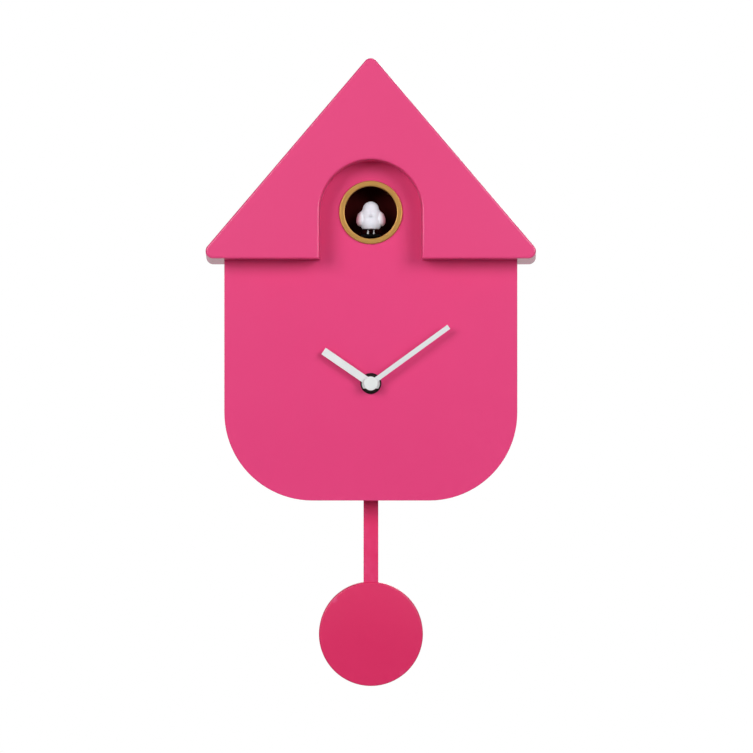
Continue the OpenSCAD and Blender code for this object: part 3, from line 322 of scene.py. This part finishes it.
def shifted(tree, where, centre):
    """Object coordinates counted from a piece's own centre."""
    n = tree.nodes.new("ShaderNodeMapping")
    n.inputs["Location"].default_value = tuple(-c for c in centre)
    feed(tree, n.inputs["Vector"], where)
    return n.outputs[0]


BUMP_DEPTH = 0.0002
DUST_COLOUR = (0.55, 0.52, 0.49)


def finish(name, colour, deep, rough, grain=(900.0, 0.3, 0.02), drift=14.0, worn_lit_colour=None,
           worn_lit_amount=0.25, dust=0.05, swing=0.05, metal=0.0, rings=None, turns=None, pattern=None,
           **constants):
    """A procedural finish: drifting colour, fine grain, lighter edges that are partly wear and
    partly painted highlight, and a little dust.
    """
    m = bpy.data.materials.new(name)
    m.use_nodes = True
    tree = m.node_tree
    shader = tree.nodes["Principled BSDF"]
    where = tree.nodes.new("ShaderNodeTexCoord").outputs["Object"]
    size, tooth, depth = grain
    skin = use(tree, GRAIN, Where=where, Size=size, Tooth=tooth)
    tone = use(tree, TONE, Where=where, Colour=colour, Deep=deep, Size=drift)
    shade, height, gloss = tone["Colour"], skin["Height"], skin["Mask"]
    if pattern:
        shade, height = pattern(tree, where, shade, height)
    if rings:
        ring = use(tree, TURNED, Where=shifted(tree, where, rings[0]), Size=rings[1])["Mask"]
        shade = mix(tree, calc(tree, "MULTIPLY", ring, 0.35), shade, deep)
        height = calc(tree, "ADD", height, ring)
        gloss = ring
    if turns:
        coil = use(tree, WOUND, Where=where, Size=turns)["Mask"]
        shade = mix(tree, coil, deep, shade)
        height = calc(tree, "ADD", calc(tree, "MULTIPLY", height, 0.1), coil)
    # Lighter outward edges: partly wear, partly painted highlight.
    edge = use(tree, EDGE, Where=where, Colour=shade, Rubbed=worn_lit_colour or colour, Amount=worn_lit_amount)
    dust_and_edge_light = use(tree, DUST, Where=where, Colour=edge["Colour"], Dust=DUST_COLOUR, Amount=dust)
    feed(tree, shader.inputs["Base Color"], dust_and_edge_light["Colour"])
    worn = calc(tree, "ADD", spread(tree, gloss, 0.0, 1.0, rough - swing, rough + swing),
                calc(tree, "MULTIPLY", dust_and_edge_light["Mask"], 0.5))
    feed(tree, shader.inputs["Roughness"], worn)
    bump = tree.nodes.new("ShaderNodeBump")
    bump.inputs["Strength"].default_value = depth
    bump.inputs["Distance"].default_value = BUMP_DEPTH
    feed(tree, bump.inputs["Height"], height)
    feed(tree, shader.inputs["Normal"], bump.outputs[0])
    shader.inputs["Metallic"].default_value = metal
    for label, value in constants.items():
        shader.inputs[label.replace("_", " ")].default_value = value
    return m


def board_tracks(tree, where, shade, height):
    """Copper tracks under the green mask, and small bright pads."""
    grid = tree.nodes.new("ShaderNodeTexBrick")
    turn = tree.nodes.new("ShaderNodeMapping")
    turn.inputs["Rotation"].default_value = (math.radians(90), 0, 0)
    feed(tree, turn.inputs["Vector"], where)
    feed(tree, grid.inputs["Vector"], turn.outputs[0])
    grid.inputs["Scale"].default_value = 240.0
    grid.inputs["Mortar Size"].default_value = 0.06
    grid.inputs["Color1"].default_value = (0, 0, 0, 1)
    grid.inputs["Color2"].default_value = (0, 0, 0, 1)
    grid.inputs["Mortar"].default_value = (1, 1, 1, 1)
    track = grid.outputs["Fac"]
    pads = spread(tree, cells(tree, turn.outputs[0], 260.0), 0.16, 0.13)
    shade = mix(tree, calc(tree, "MULTIPLY", track, 0.5), shade, (0.11, 0.26, 0.08))
    shade = mix(tree, pads, shade, (0.62, 0.60, 0.52))
    return shade, calc(tree, "ADD", height, calc(tree, "MULTIPLY", track, 2.0))


def cone_ribs(tree, where, shade, height):
    """Pressed paper: soft fibres over the cone."""
    fibre = cells(tree, where, 1400.0)
    return mix(tree, calc(tree, "MULTIPLY", fibre, 0.4), shade, (0.05, 0.05, 0.052)), fibre


def wing_painted_reflection(tree, where, shade, height):
    """Painted reflection and shade: a darker pink standing in for light bounced off the pink case,
    deepening towards the outer side of each wing.
    """
    split = tree.nodes.new("ShaderNodeSeparateXYZ")
    feed(tree, split.inputs[0], where)
    outer = spread(tree, calc(tree, "ABSOLUTE", split.outputs[0]), 0.0056, 0.0090, 0.0, 0.9)
    return mix(tree, outer, shade, (0.50, 0.11, 0.18)), height


# ---------- finishes ----------

hole_lo, hole_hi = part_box("hole_ring")
HOLE = (hole_lo + hole_hi) / 2
dial_lo, dial_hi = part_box("dial_washer")
DIAL = (dial_lo + dial_hi) / 2
disc_lo, disc_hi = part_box("pendulum_disc")
DISC = (disc_lo + disc_hi) / 2

PINK = (0.79, 0.041, 0.20)
PINK_DEEP = (0.772, 0.038, 0.191)
# PALE_PINK is laid on the pink parts' outward edges: partly wear, partly painted highlight.
PALE_PINK = (0.84, 0.10, 0.29)

# The lighter colour given after each finish's drift size is laid on its outward edges: partly
# wear, partly painted highlight.
M = {
    "pink_shell": finish("pink_shell", PINK, PINK_DEEP, 0.40, (700.0, 0.35, 0.030), 9.0,
                         PALE_PINK, 0.5, 0.05, Coat_Weight=0.18, Coat_Roughness=0.2),
    "pink_roof": finish("pink_roof", PINK, PINK_DEEP, 0.44, (700.0, 0.35, 0.030), 8.0,
                        PALE_PINK, 0.5, 0.05, Coat_Weight=0.6, Coat_Roughness=0.15),
    "pink_cover": finish("pink_cover", (0.75, 0.036, 0.185), (0.71, 0.033, 0.172), 0.47,
                         (1500.0, 0.9, 0.10), 12.0, PALE_PINK, 0.4, 0.08),
    "pink_rod": finish("pink_rod", (0.77, 0.016, 0.130), (0.75, 0.015, 0.124), 0.42,
                       (700.0, 0.35, 0.03), 16.0, PALE_PINK, 0.5, 0.03, Coat_Weight=0.12,
                       Coat_Roughness=0.28),
    "pink_disc": finish("pink_disc", (0.735, 0.015, 0.120), (0.715, 0.013, 0.114), 0.42,
                        (700.0, 0.35, 0.03), 14.0, PALE_PINK, 0.5, 0.03, Coat_Weight=0.12,
                        Coat_Roughness=0.28),
    "gold": finish("gold", (0.60, 0.335, 0.095), (0.53, 0.295, 0.082), 0.42, (1200.0, 0.4, 0.03),
                   40.0, (0.85, 0.62, 0.30), 0.8, 0.03, 0.06, 0.92, (tuple(HOLE), 9000.0)),
    "dark_liner": finish("dark_liner", (0.070, 0.0015, 0.0022), (0.055, 0.0011, 0.0017), 0.62,
                         (1400.0, 0.8, 0.10), 30.0, (0.08, 0.01, 0.014), 0.3, 0.01,
                         Specular_IOR_Level=0.08),
    "steel_screw": finish("steel_screw", (0.56, 0.57, 0.58), (0.42, 0.43, 0.45), 0.30,
                          (2600.0, 0.6, 0.05), 260.0, (0.8, 0.8, 0.8), 0.5, 0.05, 0.08, 1.0),
    "black_case": finish("black_case", (0.020, 0.0205, 0.022), (0.014, 0.0145, 0.016), 0.50,
                         (2200.0, 1.2, 0.22), 40.0, (0.07, 0.07, 0.075), 0.5, 0.10),
    "brass": finish("brass", (0.72, 0.47, 0.15), (0.60, 0.37, 0.11), 0.28, (2400.0, 0.5, 0.05),
                    120.0, (0.9, 0.7, 0.36), 0.6, 0.03, 0.07, 1.0, (tuple(DIAL), 12000.0)),
    "circuit_board": finish("circuit_board", (0.022, 0.105, 0.035), (0.016, 0.082, 0.028), 0.33,
                            (1600.0, 0.5, 0.08), 60.0, (0.25, 0.30, 0.16), 0.4, 0.06,
                            pattern=board_tracks),
    "chip": finish("chip", (0.011, 0.011, 0.012), (0.008, 0.008, 0.009), 0.42, (2600.0, 1.0, 0.15),
                   80.0, (0.06, 0.06, 0.06), 0.4, 0.05),
    "copper_winding": finish("copper_winding", (0.50, 0.155, 0.055), (0.20, 0.045, 0.015), 0.30,
                             (2600.0, 0.3, 0.35), 90.0, (0.8, 0.38, 0.2), 0.3, 0.03, 0.08, 0.8,
                             turns=900.0),
    "sheet_steel": finish("sheet_steel", (0.40, 0.41, 0.43), (0.31, 0.32, 0.34), 0.36,
                          (2200.0, 0.8, 0.08), 80.0, (0.7, 0.7, 0.7), 0.5, 0.06, 0.08, 1.0),
    "cell_jacket": finish("cell_jacket", (0.035, 0.040, 0.048), (0.028, 0.032, 0.040), 0.25,
                          (1800.0, 0.4, 0.03), 60.0, (0.3, 0.3, 0.3), 0.4, 0.04,
                          Coat_Weight=0.4, Coat_Roughness=0.1),
    "plated_contact": finish("plated_contact", (0.66, 0.66, 0.64), (0.54, 0.54, 0.53), 0.24,
                             (2400.0, 0.5, 0.05), 150.0, (0.85, 0.85, 0.85), 0.5, 0.04, 0.08, 1.0),
    "black_rubber": finish("black_rubber", (0.012, 0.0055, 0.005), (0.009, 0.004, 0.0035), 0.66,
                           (2600.0, 1.0, 0.14), 180.0, (0.05, 0.03, 0.03), 0.4, 0.02,
                           Specular_IOR_Level=0.15),
    "black_metal": finish("black_metal", (0.014, 0.012, 0.012), (0.009, 0.008, 0.008), 0.38,
                          (2400.0, 0.6, 0.08), 150.0, (0.10, 0.09, 0.085), 0.5, 0.02, 0.07, 0.2,
                          Specular_IOR_Level=0.25),
    "steel_shaft": finish("steel_shaft", (0.62, 0.63, 0.64), (0.50, 0.51, 0.53), 0.22,
                          (2600.0, 0.4, 0.04), 120.0, (0.85, 0.85, 0.85), 0.4, 0.03, 0.06, 1.0,
                          (tuple(DIAL), 9000.0)),
    "white_hand": finish("white_hand", (0.735, 0.765, 0.775), (0.71, 0.74, 0.75), 0.45,
                         (1500.0, 0.4, 0.04), 90.0, (0.9, 0.9, 0.9), 0.4, 0.05),
    "white_cap": finish("white_cap", (0.80, 0.835, 0.825), (0.775, 0.81, 0.80), 0.36,
                        (1500.0, 0.4, 0.03), 120.0, (0.9, 0.9, 0.9), 0.4, 0.04),
    "natural_plastic": finish("natural_plastic", (0.76, 0.71, 0.60), (0.70, 0.65, 0.53), 0.38,
                              (1800.0, 0.7, 0.07), 110.0, (0.85, 0.8, 0.7), 0.4, 0.05),
    "grey_plastic": finish("grey_plastic", (0.036, 0.038, 0.043), (0.028, 0.030, 0.034), 0.48,
                           (2200.0, 1.0, 0.16), 70.0, (0.10, 0.10, 0.11), 0.5, 0.08),
    "grey_wire": finish("grey_wire", (0.62, 0.60, 0.62), (0.54, 0.52, 0.54), 0.40,
                        (2600.0, 0.5, 0.05), 200.0, (0.8, 0.8, 0.8), 0.4, 0.03, 0.06, 0.2),
    "white_bird": finish("white_bird", (0.80, 0.85, 0.92), (0.74, 0.78, 0.85), 0.50,
                         (1300.0, 0.6, 0.09), 120.0, (0.88, 0.87, 0.9), 0.4, 0.04),
    # The wings' pink towards their outer sides is painted reflection and shade from the pink case,
    # not a colour of the wings.
    "wing_white_painted_reflection": finish("wing_white_painted_reflection", (0.84, 0.88, 0.94), (0.79, 0.80, 0.86), 0.50,
                        (1300.0, 0.6, 0.09), 160.0, (0.88, 0.80, 0.86), 0.4, 0.04,
                        pattern=wing_painted_reflection),
    "dull_black": finish("dull_black", (0.0022, 0.0014, 0.0015), (0.0015, 0.001, 0.001), 0.7,
                         (2200.0, 0.9, 0.14), 90.0, (0.01, 0.008, 0.008), 0.2, 0.005,
                         Specular_IOR_Level=0.04),
    "magnet": finish("magnet", (0.27, 0.275, 0.285), (0.20, 0.205, 0.215), 0.42,
                     (2400.0, 0.9, 0.14), 90.0, (0.5, 0.5, 0.5), 0.5, 0.06, 0.08, 0.9),
    "paper_cone": finish("paper_cone", (0.022, 0.022, 0.024), (0.016, 0.016, 0.018), 0.85,
                         (1400.0, 1.0, 0.3), 60.0, (0.06, 0.06, 0.06), 0.3, 0.10,
                         pattern=cone_ribs),
    "black_plastic": finish("black_plastic", (0.006, 0.0045, 0.005), (0.004, 0.003, 0.0035), 0.55,
                            (2200.0, 0.9, 0.14), 90.0, (0.02, 0.018, 0.018), 0.3, 0.01,
                            Specular_IOR_Level=0.2),
    "sensor_lens": finish("sensor_lens", (0.62, 0.58, 0.52), (0.55, 0.50, 0.44), 0.12,
                          (1200.0, 0.4, 0.02), 120.0, (0.8, 0.8, 0.8), 0.3, 0.03,
                          Transmission_Weight=0.6),
    "red_wire": finish("red_wire", (0.45, 0.012, 0.018), (0.38, 0.010, 0.014), 0.42,
                       (2400.0, 0.6, 0.07), 90.0, (0.6, 0.1, 0.1), 0.3, 0.05),
    "black_wire": finish("black_wire", (0.013, 0.013, 0.015), (0.010, 0.010, 0.011), 0.42,
                         (2400.0, 0.6, 0.07), 90.0, (0.06, 0.06, 0.06), 0.3, 0.05),
    "yellow_wire": finish("yellow_wire", (0.68, 0.46, 0.05), (0.60, 0.39, 0.04), 0.42,
                          (2400.0, 0.6, 0.07), 90.0, (0.8, 0.65, 0.3), 0.3, 0.05),
}

# ---------- mesh helpers ----------


def merged_copy(node):
    """A CAD node's mesh as a closed bmesh, with its flat faces joined up again."""
    bm = bmesh.new()
    bm.from_mesh(nodes[node].data)
    bmesh.ops.remove_doubles(bm, verts=bm.verts, dist=WELD)
    bmesh.ops.dissolve_limit(bm, angle_limit=FLAT, verts=bm.verts, edges=bm.edges,
                             use_dissolve_boundaries=False)
    return bm


def sharp(edge, angle=CREASE):
    return len(edge.link_faces) == 2 and edge.calc_face_angle(0) > angle


def round_edges(bm, wanted, radius, steps=3):
    edges = [e for e in bm.edges if sharp(e) and wanted(e)]
    if edges:
        bmesh.ops.bevel(bm, geom=edges, offset=radius, offset_type="OFFSET", segments=steps,
                        profile=0.5, affect="EDGES", clamp_overlap=True, material=-1)


def in_plane(y, slack=0.00002):
    return lambda e: all(abs(v.co.y - y) < slack for v in e.verts)


def make_piece(bm, name, body, materials, stands_for, small_edge=0.0, crease=CREASE):
    mesh = bpy.data.meshes.new(name)
    for f in bm.faces:
        f.smooth = True
    for e in bm.edges:
        e.smooth = not sharp(e, crease)
    bm.to_mesh(mesh)
    bm.free()
    for m in materials:
        mesh.materials.append(M[m])
    piece = bpy.data.objects.new(name, mesh)
    bpy.context.scene.collection.objects.link(piece)
    if small_edge:
        mod = piece.modifiers.new("small_edges", "BEVEL")
        mod.width = small_edge
        mod.segments = 2
        mod.limit_method = "ANGLE"
        mod.angle_limit = CREASE
        mod.use_clamp_overlap = True
    even = piece.modifiers.new("even_shading", "WEIGHTED_NORMAL")
    even.mode = "FACE_AREA"
    even.weight = 90
    even.keep_sharp = True
    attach(piece, body)
    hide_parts(*stands_for)
    return piece


def refine(node, small_edge, rounds=(), paint=None, materials=None):
    """A CAD node's exact shape with its edges broken and its finish on."""
    bm = merged_copy(node)
    for wanted, radius, steps in rounds:
        round_edges(bm, wanted, radius, steps)
    if paint:
        for f in bm.faces:
            f.material_index = paint(f)
    return make_piece(bm, node + "_finished", body_of[node],
                      materials or [slot_of[node]], [node], small_edge)


def turned(name, node, centre, profile, steps=144):
    """A round piece: a profile of (radius, y) spun once round the Y axis at centre. It is
    closed, unless it starts and ends on the axis."""
    bm = bmesh.new()
    verts = [bm.verts.new((centre.x + r, y, centre.z)) for r, y in profile]
    first = 1 if profile[0][0] == 0 and profile[-1][0] == 0 else 0
    ring = [bm.edges.new((verts[i - 1], verts[i])) for i in range(first, len(verts))]
    bmesh.ops.spin(bm, geom=verts + ring, cent=(centre.x, 0, centre.z), axis=(0, 1, 0),
                   angle=math.tau, steps=steps, use_merge=True, use_duplicate=False)
    bmesh.ops.remove_doubles(bm, verts=bm.verts, dist=WELD)
    bmesh.ops.recalc_face_normals(bm, faces=bm.faces)
    return make_piece(bm, name, body_of[node], [slot_of[node]], [node])


def rounded(corners, radii, steps=4):
    """A closed outline of (radius, y) corners, each rounded by its own radius."""
    out = []
    for i, corner in enumerate(corners):
        at = Vector(corner)
        before = (Vector(corners[i - 1]) - at).normalized()
        after = (Vector(corners[(i + 1) % len(corners)]) - at).normalized()
        r = radii[i]
        if not r:
            out.append(tuple(at))
            continue
        a, b = at + before * r, at + after * r
        for k in range(steps + 1):
            t = k / steps
            out.append(tuple(a * (1 - t) ** 2 + at * 2 * t * (1 - t) + b * t * t))
    return out


# ---------- case ----------

roof_lo, roof_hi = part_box("roof_shell")
face_lo, face_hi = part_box("front_housing")
FRONT = roof_lo.y
FACE = face_lo.y

SHELL_EDGE = 0.15 * MM
COVER_EDGE = 0.12 * MM
refine("roof_shell", SHELL_EDGE,
       [(in_plane(FRONT), 1.3 * MM, 4), (in_plane(roof_hi.y), 0.5 * MM, 2)])
refine("front_housing", SHELL_EDGE,
       [(in_plane(FACE), 1.2 * MM, 4), (in_plane(face_hi.y), 0.4 * MM, 2)])
cover_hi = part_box("back_cover")[1]
refine("back_cover", COVER_EDGE, [(in_plane(cover_hi.y), 0.35 * MM, 2)])
door_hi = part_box("battery_door")[1]
refine("battery_door", SHELL_EDGE, [(in_plane(door_hi.y), 0.3 * MM, 2)])

# ---------- ring, tunnel and dial fittings ----------

RIM = (hole_hi.x - hole_lo.x) / 2
RIM_W = 3.55 * MM
NECK_W = 1.6 * MM
OPENING = RIM - RIM_W
turned("hole_ring_finished", "hole_ring", HOLE, rounded(
    [(OPENING, hole_hi.y), (OPENING, hole_lo.y), (RIM, hole_lo.y), (RIM, FACE),
     (OPENING + NECK_W, FACE), (OPENING + NECK_W, hole_hi.y)],
    [0, 0.7 * MM, 0.75 * MM, 0, 0, 0]))
refine("bird_tunnel", 0.0002)

washer_hole = 4.0 * MM
washer_r = (dial_hi.x - dial_lo.x) / 2
turned("dial_washer_finished", "dial_washer", DIAL, rounded(
    [(washer_hole, dial_hi.y), (washer_hole, dial_lo.y), (washer_r, dial_lo.y),
     (washer_r, dial_hi.y)], [0, 0.15 * MM, 0.3 * MM, 0]))

cap_lo, cap_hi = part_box("hand_cap")
cap_r = (cap_hi.x - cap_lo.x) / 2
cap_top = 0.8 * MM
shaft_r = 1.5 * MM
turned("hand_cap_finished", "hand_cap", DIAL, rounded(
    [(0, cap_lo.y), (cap_r, cap_lo.y), (cap_r, cap_hi.y), (shaft_r, cap_hi.y),
     (shaft_r, cap_lo.y + cap_top), (0, cap_lo.y + cap_top)],
    [0, 0.5 * MM, 0, 0, 0, 0]))

refine("fixing_nut", 0.0002)
refine("minute_hand", 0.00012)
refine("hour_hand", 0.00012)
refine("threaded_bush", 0.0001)
refine("minute_shaft", 0.0001)
refine("hour_wheel", 0.00006)

# ---------- pendulum ----------

disc_r = (disc_hi.x - disc_lo.x) / 2
disc_crown = 1.6 * MM
disc_edge = 1.1 * MM
crown_r = (disc_r ** 2 + disc_crown ** 2) / (2 * disc_crown)
CROWN_STEPS = 24
BACK_STEPS = 8
crown = [(r, disc_lo.y + crown_r - math.sqrt(crown_r ** 2 - r ** 2))
         for r in ((disc_r - disc_edge) * k / CROWN_STEPS for k in range(CROWN_STEPS + 1))]
rim = rounded([crown[-1], (disc_r, disc_lo.y + disc_crown), (disc_r, disc_hi.y), (0, disc_hi.y)],
              [0, disc_edge, disc_edge, 0], 6)
back = [(disc_r * k / BACK_STEPS, disc_hi.y) for k in range(BACK_STEPS - 1, -1, -1)]
turned("pendulum_disc_finished", "pendulum_disc", DISC, crown[:-1] + rim[:-1] + back, 192)
refine("pendulum_rod", 0.0006)
refine("pendulum_hanger", 0.00025)
refine("pendulum_magnet", 0.0002)

# ---------- bird ----------


def spheroid(bm, centre, size, turn=(0, 0, 0), fine=4):
    """A ball stretched to size, turned, and put at centre."""
    at = Matrix.Translation(centre)
    for axis, degrees in zip("XYZ", turn):
        at = at @ Matrix.Rotation(math.radians(degrees), 4, axis)
    at = at @ Matrix.Diagonal((*size, 1))
    bmesh.ops.create_icosphere(bm, subdivisions=fine, radius=1, matrix=at)


def blended(bm, voxel, passes, flat_z=None):
    """Joins overlapping balls into one smooth skin, cut flat underneath."""
    mesh = bpy.data.meshes.new("blend")
    bm.to_mesh(mesh)
    bm.free()
    carrier = bpy.data.objects.new("blend", mesh)
    bpy.context.scene.collection.objects.link(carrier)
    skin = carrier.modifiers.new("skin", "REMESH")
    skin.mode = "VOXEL"
    skin.voxel_size = voxel
    smooth = carrier.modifiers.new("smooth", "SMOOTH")
    smooth.iterations = passes
    smooth.factor = 0.5
    done = bpy.data.meshes.new_from_object(
        carrier.evaluated_get(bpy.context.evaluated_depsgraph_get()))
    bpy.data.objects.remove(carrier)
    result = bmesh.new()
    result.from_mesh(done)
    if flat_z is not None:
        cut = bmesh.ops.bisect_plane(
            result, geom=result.verts[:] + result.edges[:] + result.faces[:],
            plane_co=(0, 0, flat_z), plane_no=(0, 0, -1), clear_outer=True)
        rim = [g for g in cut["geom_cut"] if isinstance(g, bmesh.types.BMEdge)]
        bmesh.ops.holes_fill(result, edges=rim, sides=0)
    bmesh.ops.recalc_face_normals(result, faces=result.faces)
    return result


legs_lo, legs_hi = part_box("bird_legs")
bird_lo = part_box("bird_body")[0]
PERCH = Vector(((legs_lo.x + legs_hi.x) / 2, (legs_lo.y + legs_hi.y) / 2, bird_lo.z))


def on_bird(x, y, z):
    return PERCH + Vector((x, y, z)) * MM


def size_mm(x, y, z):
    return (x * MM, y * MM, z * MM)


bird = bmesh.new()
spheroid(bird, on_bird(0, -2.4, 12.4), size_mm(5.2, 5.1, 5.15))
spheroid(bird, on_bird(0, -2.0, 8.2), size_mm(6.7, 6.0, 7.1))
spheroid(bird, on_bird(0, -1.2, 4.6), size_mm(7.0, 6.9, 6.9))
spheroid(bird, on_bird(0, 2.6, 5.6), size_mm(4.8, 5.4, 4.2), (12, 0, 0))
spheroid(bird, on_bird(0, 6.3, 6.8), size_mm(3.2, 3.0, 1.7), (20, 0, 0))
spheroid(bird, on_bird(0, -7.3, 8.3), size_mm(1.2, 1.9, 0.8), (14, 0, 0), 3)
make_piece(blended(bird, 0.0003, 9, bird_lo.z), "bird_body_finished", "bird",
           ["white_bird"], ["bird_body"], crease=math.radians(50))

wings = bmesh.new()
for side in (-1, 1):
    spheroid(wings, on_bird(side * 5.7, -1.9, 6.7), size_mm(3.4, 4.4, 5.2), (0, -side * 20, 0))
    # Three layers of feathers towards the tail, each lower and longer than the one above
    for drop, back, reach in ((9.0, 1.4, 3.8), (7.1, 2.0, 4.4), (5.3, 1.6, 3.8)):
        spheroid(wings, on_bird(side * 6.9, back, drop), size_mm(1.5, reach, 1.2),
                 (-8, 0, side * 9), 3)
make_piece(blended(wings, 0.00026, 4), "bird_wings_finished", "bird",
           ["wing_white_painted_reflection"], ["bird_wings"], crease=math.radians(60))


def rod_between(bm, a, b, r1, r2, sides=16):
    along = b - a
    at = Matrix.Translation((a + b) / 2) @ along.to_track_quat("Z", "Y").to_matrix().to_4x4()
    bmesh.ops.create_cone(bm, cap_ends=True, segments=sides, radius1=r1, radius2=r2,
                          depth=along.length, matrix=at)


LEG_R = 0.55 * MM
LEG_X = (legs_hi.x - legs_lo.x) / 2 - LEG_R
LEG_TOP = bird_lo.z + 2 * MM
legs = bmesh.new()
for side in (-1, 1):
    rod_between(legs, Vector((side * LEG_X, PERCH.y, legs_lo.z)),
                Vector((side * LEG_X, PERCH.y, LEG_TOP)), LEG_R, 0.5 * MM, 20)
make_piece(legs, "bird_legs_finished", "bird", ["grey_wire"], ["bird_legs"])

# ---------- drive, movement, power and sound ----------

refine("bird_slide", 0.00008, materials=["dull_black"])
for node, edge in (
    ("guide_frame", 0.0002), ("frame_screws", 0.0001),
    ("bird_motor", 0.0002), ("motor_pinion", 0.00004), ("drive_gear", 0.00006),
    ("movement_case", 0.0003), ("movement_cover", 0.0003), ("stepper_stator", 0.0001),
    ("stepper_coil", 0.0001), ("pendulum_coil", 0.0001), ("movement_contacts", 0.0001),
    ("minute_wheel", 0.00005), ("setting_knob", 0.0001), ("battery_box", 0.0003),
    ("box_contacts", 0.0001), ("speaker_basket", 0.0002), ("speaker_cone", 0.0001),
    ("speaker_magnet", 0.0003), ("inner_screws", 0.0001), ("board_screws", 0.0001),
    ("mode_switch", 0.0001), ("mode_slider", 0.0002), ("button_switch", 0.0001),
    ("test_button", 0.0002), ("light_sensor", 0.0001),
    ("case_screws", 0.0001), ("roof_screws", 0.0001),
):
    refine(node, edge)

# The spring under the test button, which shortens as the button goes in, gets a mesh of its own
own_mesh(refine("button_spring", 0.00004))

BOARD_T = {"movement_board": 1.2 * MM, "sound_board": 1.6 * MM}
CHIP_CLEAR = 0.1 * MM
for node in BOARD_T:
    chip_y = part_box(node)[1].y - BOARD_T[node] - CHIP_CLEAR
    refine(node, 0.0001, paint=lambda f, y=chip_y: int(f.calc_center_median().y < y),
           materials=["circuit_board", "chip"])

for node, along in (("movement_cell", "x"), ("box_cells", "z")):
    refine(node, 0.0002, paint=lambda f, k=along: int(abs(getattr(f.normal, k)) > 0.7),
           materials=["cell_jacket", "plated_contact"])


def islands(bm):
    """Numbers each separate solid of a mesh, from the lowest x of its middle upwards."""
    seen, groups = set(), []
    for start in bm.faces:
        if start in seen:
            continue
        seen.add(start)
        group, todo = [], [start]
        while todo:
            f = todo.pop()
            group.append(f)
            for e in f.edges:
                for g in e.link_faces:
                    if g not in seen:
                        seen.add(g)
                        todo.append(g)
        groups.append(group)
    return sorted(groups, key=lambda g: sum(f.calc_center_median().x for f in g) / len(g))


wires = merged_copy("wiring")
for number, group in enumerate(islands(wires)):
    for f in group:
        f.material_index = number
make_piece(wires, "wiring_finished", "case",
           ["black_wire", "yellow_wire", "red_wire"], ["wiring"], crease=math.radians(60))

# ---------- floor ----------

floor_mesh = bpy.data.meshes.new("floor")
ground = bmesh.new()
FLOOR_MIDDLE = (0, -0.45, -0.62)
FLOOR_HALF = (1.4, 0.75, 1, 1)
bmesh.ops.create_grid(ground, x_segments=1, y_segments=1, size=1,
                      matrix=Matrix.Translation(FLOOR_MIDDLE) @ Matrix.Diagonal(FLOOR_HALF))
ground.to_mesh(floor_mesh)
ground.free()
floor = bpy.data.objects.new("floor", floor_mesh)
bpy.context.scene.collection.objects.link(floor)
paper = finish("pale_floor", (0.80, 0.80, 0.80), (0.78, 0.78, 0.785), 0.7, (300.0, 0.5, 0.02),
               3.0, dust=0.0, worn_lit_amount=0.0)
# Kept pale to the camera without lighting the clock from below
FLOOR_GLOW = 0.55
shader = paper.node_tree.nodes["Principled BSDF"]
shader.inputs["Emission Color"].default_value = (1, 1, 1, 1)
seen = paper.node_tree.nodes.new("ShaderNodeLightPath").outputs["Is Camera Ray"]
feed(paper.node_tree, shader.inputs["Emission Strength"],
     calc(paper.node_tree, "MULTIPLY", seen, FLOOR_GLOW))
floor_mesh.materials.append(paper)
